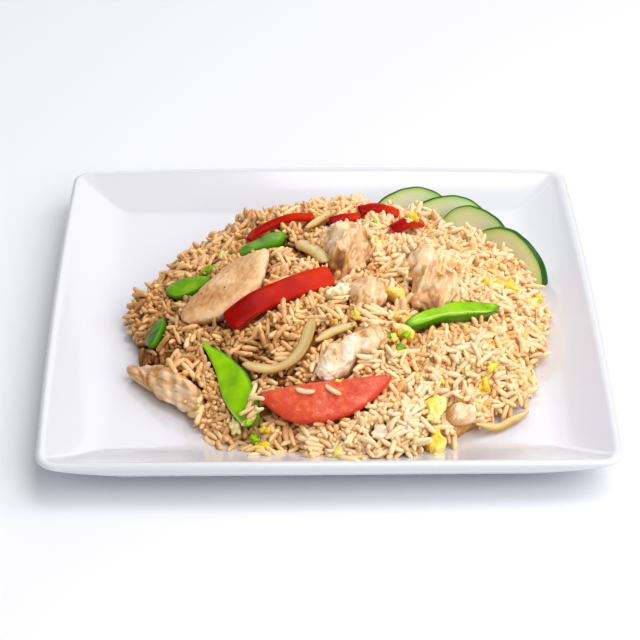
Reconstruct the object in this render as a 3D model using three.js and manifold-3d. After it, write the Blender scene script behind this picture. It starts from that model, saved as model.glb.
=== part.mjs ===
// A square white plate with a heap of fried rice: chicken, red pepper, tomato, snow peas, onion and
// egg lie on the rice, and four half slices of cucumber stand on their cut edges at its back right.
// Millimetres, +Z up. The origin is the centre of the plate's foot, on the table. +Y is the far side.
import * as THREE from 'three';
import { mergeVertices } from 'three/addons/utils/BufferGeometryUtils.js';
import Module from 'manifold-3d';

const wasm = await Module();
wasm.setup();

// Driving dimensions
const gap = 0.35; // clearance between pieces that touch
const plate = {
  half: 135, // half the side over the rim
  rim: 22, // height of the rim
  floor: 11.5, // height of the eating surface
  floorHalf: 106, // half the side of the flat floor
  foot: 5.5, // depth of the recess inside the foot ring
  bow: 2, // how far the middle of a side stands out past the corners
  rise: 1.4, // how far the middle of a side stands above the corners
};
const heap = {
  x: 8,
  y: -14,
  height: 37, // over the eating surface
  roundness: 2.2,
  shoulder: 0.55,
  // Every 15 degrees from +X
  reach: [100, 103, 109, 101, 111, 110, 109, 108, 107, 103, 100, 101, 102, 102, 102, 101, 100, 105, 111, 111,
    109, 107, 105, 102],
  wobble: [[9, 1.3, 1.5], [17, 0.4, 1.3], [29, 2.0, 1.0]], // waves per turn, phase, size
  lumps: [[2, 40, 26, 3.5], [-52, -70, 24, -2.5], [60, -70, 26, 2]], // x, y, spread, height
};
const grain = { length: 8.6, width: 2.9, relief: 1.7 };
const counts = { bumps: 292, looseTries: 72, outline: 110, plateCorner: 3, plateSide: 4 };
const cucumber = {
  soft: 0.6, // bevel of its edges
  steps: 16, // segments of its arc
  clear: 40, // depth behind a slice that is kept free of rice
  cover: 4, // radius round its cut edge that is kept free of grains
};

// Seeded random numbers, so that every run gives the same heap
function randomSource(seed) {
  let state = seed;
  return () => {
    state = (Math.imul(state, 1664525) + 1013904223) >>> 0;
    return state / 4294967296;
  };
}

const smoothstep = (t) => t * t * (3 - 2 * t);
const radians = (degrees) => (degrees * Math.PI) / 180;

// Solids from three.js geometry and back
function toSolid(geometry) {
  const bare = geometry.index ? geometry.clone() : geometry;
  bare.deleteAttribute('normal');
  bare.deleteAttribute('uv');
  const merged = mergeVertices(bare, 1e-4);
  const index = [];
  for (let i = 0; i < merged.index.count; i += 3) {
    const [a, b, c] = [0, 1, 2].map((k) => merged.index.getX(i + k));
    if (a !== b && b !== c && c !== a) {
      index.push(a, b, c);
    }
  }
  const make = (triVerts) => {
    const vertProperties = new Float32Array(merged.attributes.position.array);
    return new wasm.Manifold(new wasm.Mesh({ numProp: 3, vertProperties, triVerts }));
  };
  const solid = make(new Uint32Array(index));
  return solid.volume() > 0 ? solid : make(new Uint32Array(index.reverse()));
}

function toGeometry(solid) {
  const mesh = solid.getMesh();
  const geometry = new THREE.BufferGeometry();
  geometry.setAttribute('position', new THREE.BufferAttribute(mesh.vertProperties, 3));
  geometry.setIndex(new THREE.BufferAttribute(mesh.triVerts, 1));
  return geometry;
}

// The largest connected part, so that no scrap of a cut is left
function largest(solid) {
  const parts = solid.decompose();
  parts.sort((a, b) => b.volume() - a.volume());
  return parts[0];
}

// A skin of rings with the same number of points each, closed at both ends by a fan to its middle
function loft(rings, firstMiddle, lastMiddle) {
  const count = rings[0].length;
  const positions = rings.flat().map((p) => [p.x, p.y, p.z]);
  const first = positions.push([firstMiddle.x, firstMiddle.y, firstMiddle.z]) - 1;
  const last = positions.push([lastMiddle.x, lastMiddle.y, lastMiddle.z]) - 1;
  const index = [];
  for (let i = 0; i < count; i += 1) {
    const next = (i + 1) % count;
    index.push(first, next, i);
    for (let r = 0; r + 1 < rings.length; r += 1) {
      const low = r * count;
      const high = low + count;
      index.push(low + i, low + next, high + next, low + i, high + next, high + i);
    }
    const end = (rings.length - 1) * count;
    index.push(last, end + i, end + next);
  }
  const geometry = new THREE.BufferGeometry();
  geometry.setAttribute('position', new THREE.Float32BufferAttribute(positions.flat(), 3));
  geometry.setIndex(index);
  return toSolid(geometry);
}

// The plate: rounded square rings from the recess under it, over the rim and down to the floor
function squareRing(half, corner, height, bow, rise) {
  const cornerSteps = counts.plateCorner;
  const sideSteps = counts.plateSide;
  const points = [];
  for (let side = 0; side < 4; side += 1) {
    const turn = (side * Math.PI) / 2;
    const flat = [];
    for (let i = 0; i <= cornerSteps; i += 1) {
      const angle = (i / cornerSteps) * (Math.PI / 2);
      flat.push([half - corner + corner * Math.cos(angle), half - corner + corner * Math.sin(angle)]);
    }
    for (let i = 1; i < sideSteps; i += 1) {
      flat.push([(half - corner) * (1 - (2 * i) / sideSteps), half]);
    }
    for (const [x, y] of flat) {
      const along = Math.min(Math.abs(x), Math.abs(y)) / half;
      const swell = 1 - along * along;
      const out = 1 + (bow * swell) / half;
      const point = new THREE.Vector3(x * out, y * out, height + rise * swell);
      points.push(point.applyAxisAngle(new THREE.Vector3(0, 0, 1), turn));
    }
  }
  return points;
}

// Half size, height and corner radius of the wall's inner face, from the lip down to the floor
const innerWall = [
  [plate.half - 4, plate.rim - 0.6, 7],
  [plate.half - 8, plate.rim - 2.6, 5],
  [plate.half - 15, plate.rim - 5.8, 4],
  [plate.half - 22, plate.rim - 8.6, 3.5],
  [plate.floorHalf + 2, plate.floor + 0.5, 3],
  [plate.floorHalf - 3, plate.floor + 0.05, 4],
];

function plateSolid(clearance) {
  const { half, rim, floor, foot, bow, rise } = plate;
  const outside = [
    squareRing(75, 14, foot, 0, 0),
    squareRing(79, 16, 0, 0, 0),
    squareRing(86, 20, 0, 0, 0),
    squareRing(90, 24, 4, 0, 0),
    squareRing(112, 30, 7.5, 0, 0),
    squareRing(half - 6, 38, rim - 9.5, bow / 2, rise / 2),
    squareRing(half - 2.4, 32, rim - 7, bow, rise),
    squareRing(half - 0.8, 16, rim - 4, bow, rise),
    squareRing(half, 10, rim - 1.8, bow, rise),
    squareRing(half - 0.6, 9.5, rim - 0.5, bow, rise),
    squareRing(half - 2.2, 8.5, rim, bow, rise),
  ];
  const inside = innerWall.map(([size, height, corner]) => {
    const share = (height - floor) / (rim - floor);
    return squareRing(size, corner, height + clearance, bow * (1.5 * share - 0.5), rise * share);
  });
  const underMiddle = new THREE.Vector3(0, 0, foot);
  const floorMiddle = new THREE.Vector3(0, 0, floor + clearance);
  return loft([...outside, ...inside], underMiddle, floorMiddle);
}

// Height of the plate's upper face
function plateTop(x, y) {
  const d = Math.max(Math.abs(x), Math.abs(y));
  for (let i = innerWall.length - 1; i > 0; i -= 1) {
    const [lowHalf, lowHeight] = innerWall[i];
    const [highHalf, highHeight] = innerWall[i - 1];
    if (d < highHalf) {
      const t = Math.max(0, (d - lowHalf) / (highHalf - lowHalf));
      return lowHeight + t * (highHeight - lowHeight);
    }
  }
  return plate.rim;
}

// The heap's outline and its smooth top, before any grain is added
function heapReach(angle) {
  const turn = ((angle / (2 * Math.PI)) % 1 + 1) % 1;
  const step = turn * heap.reach.length;
  const i = Math.floor(step) % heap.reach.length;
  const t = smoothstep(step - Math.floor(step));
  const base = heap.reach[i] * (1 - t) + heap.reach[(i + 1) % heap.reach.length] * t;
  const wave = (sum, [waves, phase, size]) => sum + size * Math.sin(waves * angle + phase);
  return heap.wobble.reduce(wave, base);
}

function heapTop(x, y) {
  const distance = Math.hypot(x - heap.x, y - heap.y);
  const u = Math.min(1, distance / heapReach(Math.atan2(y - heap.y, x - heap.x)));
  const dome = heap.height * (1 - u ** heap.roundness) ** heap.shoulder;
  let lumps = 0.9 * Math.sin(x / 7 + 0.6 * Math.sin(y / 11)) * Math.sin(y / 8);
  for (const [cx, cy, spread, height] of heap.lumps) {
    lumps += height * Math.exp(-(((x - cx) ** 2 + (y - cy) ** 2) / (2 * spread ** 2)));
  }
  const fade = Math.min(1, 4 * (1 - u));
  return Math.max(plate.floor + dome + lumps * fade, plateTop(x, y) + 1.4);
}

function heapNormal(x, y) {
  const step = 4;
  const dx = (heapTop(x + step, y) - heapTop(x - step, y)) / (2 * step);
  const dy = (heapTop(x, y + step) - heapTop(x, y - step)) / (2 * step);
  return new THREE.Vector3(-dx, -dy, 1).normalize();
}

// A frame on the heap: its point, its normal and the direction that yaw gives in plan
function seat(x, y, yaw) {
  const point = new THREE.Vector3(x, y, heapTop(x, y));
  const normal = heapNormal(x, y);
  const ahead = new THREE.Vector3(Math.cos(radians(yaw)), Math.sin(radians(yaw)), 0);
  ahead.addScaledVector(normal, -ahead.dot(normal)).normalize();
  const side = new THREE.Vector3().crossVectors(normal, ahead);
  return { point, normal, ahead, side };
}

// Local (u, v, w) to the heap: flat on the tangent plane at bend 0, draped over the heap at bend 1
function draped(piece, u, v, w) {
  const { point, normal, ahead, side } = seat(piece.at[0], piece.at[1], piece.yaw);
  const stiff = point.clone().addScaledVector(ahead, u).addScaledVector(side, v);
  const x = stiff.x;
  const y = stiff.y;
  const soft = new THREE.Vector3(x, y, heapTop(x, y));
  const bend = piece.bend ?? 0.5;
  const place = stiff.lerp(soft, bend);
  const up = normal.clone().lerp(heapNormal(x, y), bend).normalize();
  const tilt = (piece.pitch ?? 0) * u + (piece.roll ?? 0) * v;
  return place.addScaledVector(up, w + (piece.lift ?? 0) + tilt);
}

// Share of the outline and share of the height of each ring of a slab, from its edge to its top
const flatProfile = [[1, 0.35], [0.86, 0.86], [0.5, 1]];
const chunkProfile = [[1, 0.05], [0.93, 0.38], [0.72, 0.73], [0.38, 0.96]];
const crumbProfile = [[1, 0.3], [0.55, 1]];

// A slab with a closed outline in plan, domed above: ridge is its fibres' height, rough its lumps'
function slab(piece, grow = 0) {
  const corners = piece.outline.map(([u, v]) => new THREE.Vector3(u, v, 0));
  const curve = new THREE.CatmullRomCurve3(corners, true, 'catmullrom', piece.round ?? 0.5);
  const rim = curve.getSpacedPoints(piece.sides ?? 12).slice(0, -1);
  const middle = rim.reduce((sum, p) => sum.add(p), new THREE.Vector3()).divideScalar(rim.length);
  const ringAt = (share, height) =>
    rim.map((p) => {
      const arm = p.clone().sub(middle);
      const reach = arm.length();
      arm.multiplyScalar((share * (reach + grow)) / reach).add(middle);
      const ridge = (piece.ridge ?? 0) * Math.sin(arm.x * 0.75 + arm.y * 0.45) * (1 - share * share);
      const rough = (piece.rough ?? 0) * Math.sin(arm.x * 0.42 + 1.1) * Math.sin(arm.y * 0.5 + 0.5);
      return draped(piece, arm.x, arm.y, height > 0 ? height + ridge + rough * (1 - share ** 6) : height);
    });
  const top = piece.top + grow;
  const bottom = -(piece.bottom ?? 3) - grow;
  const rings = [ringAt(0.92, bottom)];
  for (const [share, level] of piece.profile ?? flatProfile) {
    rings.push(ringAt(share, top * level));
  }
  const summit = top + (piece.rough ?? 0) * 0.5;
  return loft(rings, draped(piece, middle.x, middle.y, bottom), draped(piece, middle.x, middle.y, summit));
}

// A strip along a path on the heap, given as plan points with a height over the heap's surface
function strip(piece, grow = 0) {
  const knots = piece.path.map(([x, y, lift]) => {
    return new THREE.Vector3(x, y, heapTop(x, y)).addScaledVector(heapNormal(x, y), lift);
  });
  const curve = new THREE.CatmullRomCurve3(knots, false, 'catmullrom', 0.5);
  const steps = piece.steps ?? 9;
  const rings = [];
  for (let i = 0; i <= steps; i += 1) {
    const t = i / steps;
    const p = curve.getPointAt(t);
    const ahead = curve.getTangentAt(t);
    const side = new THREE.Vector3().crossVectors(heapNormal(p.x, p.y), ahead).normalize();
    side.applyAxisAngle(ahead, radians(piece.roll ?? 0));
    const up = new THREE.Vector3().crossVectors(ahead, side);
    const taper = Math.min(1, (piece.ends ?? 0.8) + 3 * Math.min(t, 1 - t));
    const wide = (piece.width / 2) * taper + grow;
    const thick = piece.thick / 2 + grow;
    p.addScaledVector(ahead, i === 0 ? -grow : i === steps ? grow : 0);
    const corners = [[-1, 0], [-0.8, -1], [0.8, -1], [1, 0], [0.8, 1], [-0.8, 1]];
    rings.push(
      corners.map(([a, b]) => p.clone().addScaledVector(side, a * wide).addScaledVector(up, b * thick)),
    );
  }
  const centre = (ring) => ring.reduce((sum, p) => sum.clone().add(p)).divideScalar(ring.length);
  return loft(rings, centre(rings[0]), centre(rings[steps]));
}

// Half a cucumber slice that stands on its cut edge: centre is the middle of that edge on the front
// face, turn the edge's direction in plan, lean how far the face tips back, behind adds depth at the back
function slice({ centre, turn, lean, radius, thick }, grow = 0, behind = 0) {
  const outer = radius + grow;
  const dip = Math.asin(grow / outer);
  const outline = new THREE.Shape();
  outline.absarc(0, 0, outer, -dip, Math.PI + dip, false);
  const { soft, steps } = cucumber;
  const depth = thick + behind + 2 * (grow - soft);
  const bevel = { bevelThickness: soft, bevelSize: soft, bevelOffset: -soft, bevelSegments: 1 };
  const geometry = new THREE.ExtrudeGeometry(outline, { depth, curveSegments: steps, ...bevel });
  geometry.translate(0, 0, soft - thick - grow - behind);
  const [yaw, tip] = [radians(turn), radians(lean)];
  const level = new THREE.Vector3(Math.sin(yaw), -Math.cos(yaw), 0).multiplyScalar(Math.cos(tip));
  const normal = level.setZ(Math.sin(tip));
  const along = new THREE.Vector3(Math.cos(yaw), Math.sin(yaw), 0);
  const rising = new THREE.Vector3().crossVectors(normal, along);
  geometry.applyMatrix4(new THREE.Matrix4().makeBasis(along, rising, normal).setPosition(...centre));
  return toSolid(geometry);
}

// A single grain of rice: a four-sided spindle lying along a direction
function grainSolid(centre, direction, length, width) {
  const shape = [[0, -0.5], [0.36, -0.38], [0.5, 0], [0.34, 0.4], [0, 0.5]];
  const points = shape.map(([r, y]) => new THREE.Vector2(r * width, y * length));
  const geometry = new THREE.LatheGeometry(points, 4);
  const turn = new THREE.Quaternion().setFromUnitVectors(new THREE.Vector3(0, 1, 0), direction);
  geometry.applyQuaternion(turn);
  geometry.translate(centre.x, centre.y, centre.z);
  return toSolid(geometry);
}

// What lies on the rice, the lowest first. Plan places and sizes are in millimetres.
const colours = {
  chicken: ['#e9cfa6', 0.55],
  pepper: ['#c8200d', 0.25],
  tomato: ['#dc4a38', 0.35],
  pea: ['#5fae1c', 0.3],
  onion: ['#dcc795', 0.3],
  egg: ['#f3cf3c', 0.5],
  eggWhite: ['#f5e6bf', 0.5],
};
const pieces = [
  {
    name: 'snow_pea_behind', make: slab, look: 'pea', at: [-29, 17], yaw: 24, top: 2.6, bend: 0.9, lift: 1,
    outline: [[-16, -1], [-8, 5], [-1, 5], [6, 6], [12, 2.5], [8, -3], [3, -4.5], [-4, -4],
      [-12, -4.5]],
  },
  {
    name: 'snow_pea_left', make: slab, look: 'pea', at: [-68, -7], yaw: 0, top: 2.6, bend: 0.8, lift: 0.8,
    outline: [[-12, 3], [-8, 6.5], [-1, 6], [7, 3], [13, 0], [10, -4], [4, -7], [-4, -6.5], [-10, -2]],
  },
  {
    name: 'snow_pea_far_left', make: slab, look: 'pea', at: [-83, -35], yaw: 62, top: 2.4, bend: 0.8,
    outline: [[-9, -2], [-5, 4], [2, 5], [9, 3], [10, -2], [3, -5], [-5, -5]], sides: 10, lift: 0.8,
  },
  {
    name: 'snow_pea_right', make: slab, look: 'pea', at: [58, -45], yaw: 24, top: 2.4, bend: 0.6, lift: 1.3,
    outline: [[-27, -6], [-24, -1], [-17, 2], [-4, 4.5], [8, 6.5], [21, 6], [31, 4.5], [32, 3],
      [26, -1], [16, -2.5], [2, -4], [-11, -4.5], [-21, -6]],
    sides: 14,
  },
  {
    name: 'chicken_slice_left', make: slab, look: 'chicken', at: [-49, -17], yaw: 42, top: 6.5, bend: 0.35,
    outline: [[-30, -0.5], [-26, 3.4], [-15.5, 6.5], [-3, 7.8], [6, 8.6], [16, 8.3], [23.5, 6.3], [30, 3.5],
      [31, 0.4], [24, -5.6], [16, -11.5], [6, -17.5], [-5, -19], [-13, -17.6], [-18, -15.4], [-22, -12],
      [-26, -8], [-29.5, -4]],
    ridge: 0.7, sides: 16,
  },
  {
    name: 'chicken_chunk_back', make: slab, look: 'chicken', at: [12, 0], yaw: 84, top: 14, bend: 0.3,
    outline: [[-18, -4], [-19, 2], [-16, 7], [-9, 11], [2, 12], [10, 12.5], [16, 11], [19, 5],
      [18, -3], [12, -8], [3, -11], [-6, -9], [-13, -7]],
    rough: 2.4, sides: 16, profile: chunkProfile,
  },
  {
    name: 'chicken_chunk_middle', make: slab, look: 'chicken', at: [20, -34], yaw: 10, top: 9, bend: 0.4,
    outline: [[-10, -4], [-9, 4], [-2, 11], [6, 10.5], [9, 3], [8, -4], [3, -10], [-4, -12], [-8, -8]],
    rough: 1.6, profile: chunkProfile,
  },
  {
    name: 'chicken_chunk_right', make: slab, look: 'chicken', at: [51, -24], yaw: 100, top: 11.5, bend: 0.5,
    outline: [[-23, 3], [-20, 10], [-15, 13], [-5, 11.5], [5, 8.5], [12, 9], [20, 9], [29, 5],
      [34, -2], [30, -8], [21, -8], [12, -11], [2, -13], [-11, -10], [-18, -4]],
    rough: 2, sides: 16, profile: chunkProfile,
  },
  {
    name: 'chicken_strip_centre', make: slab, look: 'chicken', at: [12, -75], yaw: 38, top: 6.5, bend: 0.5,
    outline: [[-24, -3], [-19, 3], [-13, 7], [-5, 6.5], [3, 6], [10, 6], [19, 3.5], [22, -1],
      [17, -6], [10, -7.5], [3, -7], [-2, -5.5], [-6, -7], [-12, -9], [-20, -7]],
    ridge: 0.9, sides: 14, lift: 1,
  },
  {
    name: 'chicken_strip_front_left', make: slab, look: 'chicken', at: [-76, -67], yaw: -46, top: 6.5,
    outline: [[-27, -4], [-20, 6], [-6, 9], [10, 8], [21, 6], [26, -1], [18, -7], [2, -8], [-16, -8]],
    ridge: 0.6, sides: 14, bend: 0.6,
  },
  {
    name: 'chicken_cube_front', make: slab, look: 'chicken', at: [61, -100], yaw: 5, top: 5, bend: 0.4,
    outline: [[-6, -4], [-6, 4], [0, 5], [6, 4], [6, -3], [0, -5]], sides: 8, lift: 0.8,
  },
  {
    name: 'onion_arc', make: strip, look: 'onion', width: 6.8, thick: 2.2, roll: -20, steps: 9, ends: 0.6,
    path: [[-39, -73, 2.6], [-33, -79, 3.4], [-25, -82, 3.8], [-17, -79, 3.8], [-11, -71, 3.6],
      [-7, -54, 3]],
  },
  {
    name: 'onion_back', make: strip, look: 'onion', width: 8, thick: 2, steps: 6, ends: 0.6,
    path: [[-13, 14, 2.2], [-8, 7, 2.8], [-3, 0, 2.8], [0, -8, 2.2]],
  },
  {
    name: 'onion_top', make: strip, look: 'onion', width: 4.5, thick: 2, steps: 6, ends: 0.4,
    path: [[-9, 25, 2.6], [-3, 32, 3.6], [2, 39, 3.6], [6, 46, 2.6]],
  },
  {
    name: 'onion_leaf', make: strip, look: 'onion', width: 5, thick: 2, steps: 6, ends: 0.3,
    path: [[-6, -68, 2], [2, -62, 2.8], [14, -57, 2]],
  },
  {
    name: 'onion_sliver_right', make: strip, look: 'onion', width: 4.5, thick: 2.2, steps: 6, ends: 0.2,
    path: [[67, -100, 2.6], [78, -95, 2.8], [87, -90, 2.2], [95, -83, 1.4]],
  },
  {
    name: 'pepper_strip_centre', make: strip, look: 'pepper', width: 11.5, thick: 3.4, roll: 26, steps: 10,
    path: [[-47, -48, 3.8], [-34, -40, 4.8], [-20, -32, 4.8], [-8, -25.5, 4.2], [3, -20.5, 3.2]], ends: 0.9,
  },
  {
    name: 'pepper_arc_back_left', make: strip, look: 'pepper', width: 4.6, thick: 2.6, roll: 35, steps: 10,
    path: [[-37, 21, 2.6], [-34, 29, 3.2], [-25, 35, 3.4], [-15, 37, 3.4], [-5, 36, 3]], ends: 0.9,
  },
  {
    name: 'pepper_strip_back', make: strip, look: 'pepper', width: 5, thick: 2.6, roll: 35, steps: 6,
    path: [[3, 30, 3.4], [10, 33, 4], [18, 38, 3.4]], ends: 0.9,
  },
  {
    name: 'pepper_strip_far', make: strip, look: 'pepper', width: 6, thick: 2.6, roll: 30, steps: 6,
    path: [[18, 46, 3.6], [28, 51, 4.2], [39, 50, 3]], ends: 0.9,
  },
  {
    name: 'pepper_curl_right', make: strip, look: 'pepper', width: 6.2, thick: 2.6, roll: 18, steps: 6,
    path: [[34, 26, 3], [42, 36, 4.4], [50, 46, 3]], ends: 0.9,
  },
  {
    name: 'tomato_wedge', make: slab, look: 'tomato', at: [-1, -101], yaw: 6, top: 5, bend: 0.35, lift: 1.5,
    outline: [[-30.8, 7], [-28.5, 8.5], [-20.5, 9.1], [-8, 9.2], [7.5, 8.8], [18.5, 8.4], [28.6, 8.8],
      [30.6, 7], [28, 3.2], [21, -3], [12, -8], [-2.6, -10.2], [-15, -8.4], [-23, -2.8], [-28.5, 3.2]],
    sides: 18, round: 0.3, roll: 0.08,
  },
  {
    name: 'snow_pea_front', make: slab, look: 'pea', at: [-47, -81], yaw: -58, top: 2.4, bend: 0.55,
    outline: [[-32.5, 4.2], [-26, 6.4], [-19, 8.6], [-9.5, 10.4], [0.7, 10.8], [9.6, 9.3], [18.5, 6.8],
      [25, 4], [28, 1.6], [27, -1.5], [23, -4.8], [15.6, -7], [9.4, -6.8], [-2.2, -3.4], [-12.3, 0],
      [-23.4, 2.4]],
    sides: 14, round: 0.4, lift: 1.3,
  },
  {
    name: 'egg_white_centre', make: slab, look: 'eggWhite', at: [7, -33], yaw: 12, top: 3.8, bend: 0.6,
    outline: [[-8, -2], [-3, 3], [5, 4], [6, -2], [0, -4]], sides: 8, lift: 1,
  },
  {
    name: 'egg_bent_right', make: slab, look: 'egg', at: [33, -33], yaw: -20, top: 3.4, bend: 0.8, lift: 1,
    outline: [[-6, 1], [0, 3.5], [6, 1], [5, -4], [0, -1.5]], sides: 8,
  },
  {
    name: 'egg_strip_right', make: slab, look: 'egg', at: [36, -63], yaw: -32, top: 3.2, bend: 0.8, lift: 1,
    outline: [[-7, 1], [0, 2.6], [6, 1], [5, -2], [0, -2.4], [-6, -2]], sides: 8,
  },
  {
    name: 'egg_front_upper', make: slab, look: 'egg', at: [49, -101], yaw: 75, top: 3.6, bend: 0.8, lift: 1,
    outline: [[-7, -3], [-4, 3], [4, 3], [7, -1], [2, -4]], sides: 8,
  },
  {
    name: 'egg_front_lower', make: slab, look: 'egg', at: [49, -115], yaw: 65, top: 3.2, bend: 0.8, lift: 1,
    outline: [[-6, -3], [-3, 3], [5, 4], [7, 0], [2, -4]], sides: 8,
  },
  {
    name: 'egg_white_front', make: slab, look: 'eggWhite', at: [23, -116], yaw: 10, top: 3, bend: 0.8,
    outline: [[-5, -2], [-2, 3], [4, 2], [5, -2], [0, -3]], sides: 8, lift: 1,
  },
];
const slices = [
  { name: 'cucumber_slice_1', centre: [49.5, 86.5, 12.3], turn: 1, lean: 8, radius: 24.7, thick: 2.4 },
  { name: 'cucumber_slice_2', centre: [67.6, 83, 10.6], turn: 0, lean: 1, radius: 24.7, thick: 2.2 },
  { name: 'cucumber_slice_3', centre: [79.7, 63, 12.9], turn: -39.5, lean: 12.5, radius: 24.8, thick: 3 },
  { name: 'cucumber_slice_4', centre: [94.3, 41.9, 12.6], turn: -42.5, lean: 7, radius: 24.9, thick: 5 },
];
// Crumbs of egg and green that are fused to the rice: plan place and size
const crumbs = [
  [26, 14, 6], [14, -50, 5], [36, -52, 5], [50, -122, 5], [74, -82, 6], [95, -27, 5], [104, -12, 6],
  [104, -28, 4], [85, -9, 7], [4, -122, 7], [-31, -110, 5], [-44, -104, 6], [-51, 16, 5], [-60, 3, 5],
  [34, -72, 4], [26, 28, 3],
];

// The rice's surface: points of a triangle mesh in plan, each with a height over the smooth heap
function coverDiscs() {
  const discs = [];
  for (const piece of pieces) {
    if (piece.path) {
      piece.path.forEach(([x, y]) => discs.push([x, y, piece.width / 2 + 1]));
    } else {
      const { point, ahead, side } = seat(piece.at[0], piece.at[1], piece.yaw);
      for (const [u, v] of [[0, 0], ...piece.outline]) {
        const p = point.clone().addScaledVector(ahead, u * 0.6).addScaledVector(side, v * 0.6);
        const width = Math.max(...piece.outline.map(([, w]) => Math.abs(w)));
        discs.push([p.x, p.y, width * 0.6]);
      }
    }
  }
  for (const { centre: [x, y], turn, radius } of slices) {
    for (const share of [-0.8, -0.4, 0, 0.4, 0.8]) {
      const reach = share * radius;
      discs.push([x + reach * Math.cos(radians(turn)), y + reach * Math.sin(radians(turn)), cucumber.cover]);
    }
  }
  return discs;
}

function ricePoints() {
  const random = randomSource(41);
  const covers = coverDiscs();
  const points = [];
  const add = (x, y, height, apart) => {
    const inside = Math.hypot(x - heap.x, y - heap.y) < heapReach(Math.atan2(y - heap.y, x - heap.x)) - 1.6;
    if (inside && points.every((p) => Math.hypot(p.x - x, p.y - y) > apart)) {
      points.push({ x, y, height });
    }
  };
  for (let i = 0; i < counts.outline; i += 1) {
    const angle = (i / counts.outline) * 2 * Math.PI;
    const reach = heapReach(angle);
    points.push({ x: heap.x + reach * Math.cos(angle), y: heap.y + reach * Math.sin(angle), height: 0 });
  }
  const grains = [];
  for (let tries = 0; tries < 9000 && grains.length < counts.bumps; tries += 1) {
    const angle = random() * 2 * Math.PI;
    const out = Math.sqrt(random()) * (heapReach(angle) - grain.length * 0.4);
    const x = heap.x + out * Math.cos(angle);
    const y = heap.y + out * Math.sin(angle);
    const yaw = random() * Math.PI;
    const along = { x: Math.cos(yaw), y: Math.sin(yaw) };
    const covered = covers.some(([cx, cy, r]) => Math.hypot(x - cx, y - cy) < r);
    const crowded = grains.some((g) => Math.hypot(g.x - x, g.y - y) < grain.length * 0.62);
    if (!covered && !crowded) {
      grains.push({ x, y });
      const half = grain.length * 0.22;
      const high = grain.relief * (0.6 + 0.8 * random());
      const low = grain.relief * (0.4 + 0.6 * random());
      points.push({ x: x + half * along.x, y: y + half * along.y, height: high });
      points.push({ x: x - half * along.x, y: y - half * along.y, height: low });
    }
    if (!covered && !crowded) {
      const side = grain.width * 0.72;
      const end = grain.length * 0.5;
      add(x - side * along.y, y + side * along.x, -0.3, 1.5);
      add(x + side * along.y, y - side * along.x, -0.3, 1.5);
      add(x + end * along.x, y + end * along.y, -0.2, 1.5);
      add(x - end * along.x, y - end * along.y, -0.2, 1.5);
    }
  }
  const spacing = 9;
  for (let i = -14; i <= 14; i += 1) {
    for (let j = -14; j <= 14; j += 1) {
      add(i * spacing + (j % 2) * spacing * 0.5, j * spacing * 0.87, 0, 6);
    }
  }
  return points;
}

// Delaunay triangulation in plan, one point at a time
function triangulate(points) {
  const far = 4000;
  const all = [...points, { x: -far, y: -far }, { x: far, y: -far }, { x: 0, y: far }];
  const circle = (a, b, c) => {
    const [p, q, r] = [all[a], all[b], all[c]];
    const d = 2 * (p.x * (q.y - r.y) + q.x * (r.y - p.y) + r.x * (p.y - q.y));
    const [pp, qq, rr] = [p, q, r].map((s) => s.x * s.x + s.y * s.y);
    const x = (pp * (q.y - r.y) + qq * (r.y - p.y) + rr * (p.y - q.y)) / d;
    const y = (pp * (r.x - q.x) + qq * (p.x - r.x) + rr * (q.x - p.x)) / d;
    return { a, b, c, x, y, rr: (p.x - x) ** 2 + (p.y - y) ** 2 };
  };
  let triangles = [circle(points.length, points.length + 1, points.length + 2)];
  points.forEach((point, at) => {
    const hit = (t) => (t.x - point.x) ** 2 + (t.y - point.y) ** 2 < t.rr;
    const edges = new Map();
    for (const t of triangles.filter(hit)) {
      for (const [from, to] of [[t.a, t.b], [t.b, t.c], [t.c, t.a]]) {
        if (!edges.delete(`${to},${from}`)) {
          edges.set(`${from},${to}`, [from, to]);
        }
      }
    }
    triangles = triangles.filter((t) => !hit(t));
    edges.forEach(([from, to]) => triangles.push(circle(from, to, at)));
  });
  return triangles.filter(({ a, b, c }) => Math.max(a, b, c) < points.length);
}

// The heap: the meshed top, a skirt down its outline and the same mesh below, inside the plate
function heapSolid() {
  const points = ricePoints();
  const triangles = triangulate(points).filter(({ a, b, c }) => {
    const x = (points[a].x + points[b].x + points[c].x) / 3;
    const y = (points[a].y + points[b].y + points[c].y) / 3;
    return Math.hypot(x - heap.x, y - heap.y) < heapReach(Math.atan2(y - heap.y, x - heap.x));
  });
  const depth = 2;
  const top = points.map((p) => [p.x, p.y, heapTop(p.x, p.y) + p.height]);
  const low = points.map((p) => [p.x, p.y, plateTop(p.x, p.y) - depth]);
  const index = [];
  const open = new Map();
  for (const { a, b, c } of triangles) {
    index.push(a, b, c, c + points.length, b + points.length, a + points.length);
    for (const [from, to] of [[a, b], [b, c], [c, a]]) {
      if (!open.delete(`${to},${from}`)) {
        open.set(`${from},${to}`, [from, to]);
      }
    }
  }
  for (const [from, to] of open.values()) {
    index.push(to, from, from + points.length, to, from + points.length, to + points.length);
  }
  const geometry = new THREE.BufferGeometry();
  geometry.setAttribute('position', new THREE.Float32BufferAttribute([...top, ...low].flat(), 3));
  geometry.setIndex(index);
  return toSolid(geometry);
}

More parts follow.
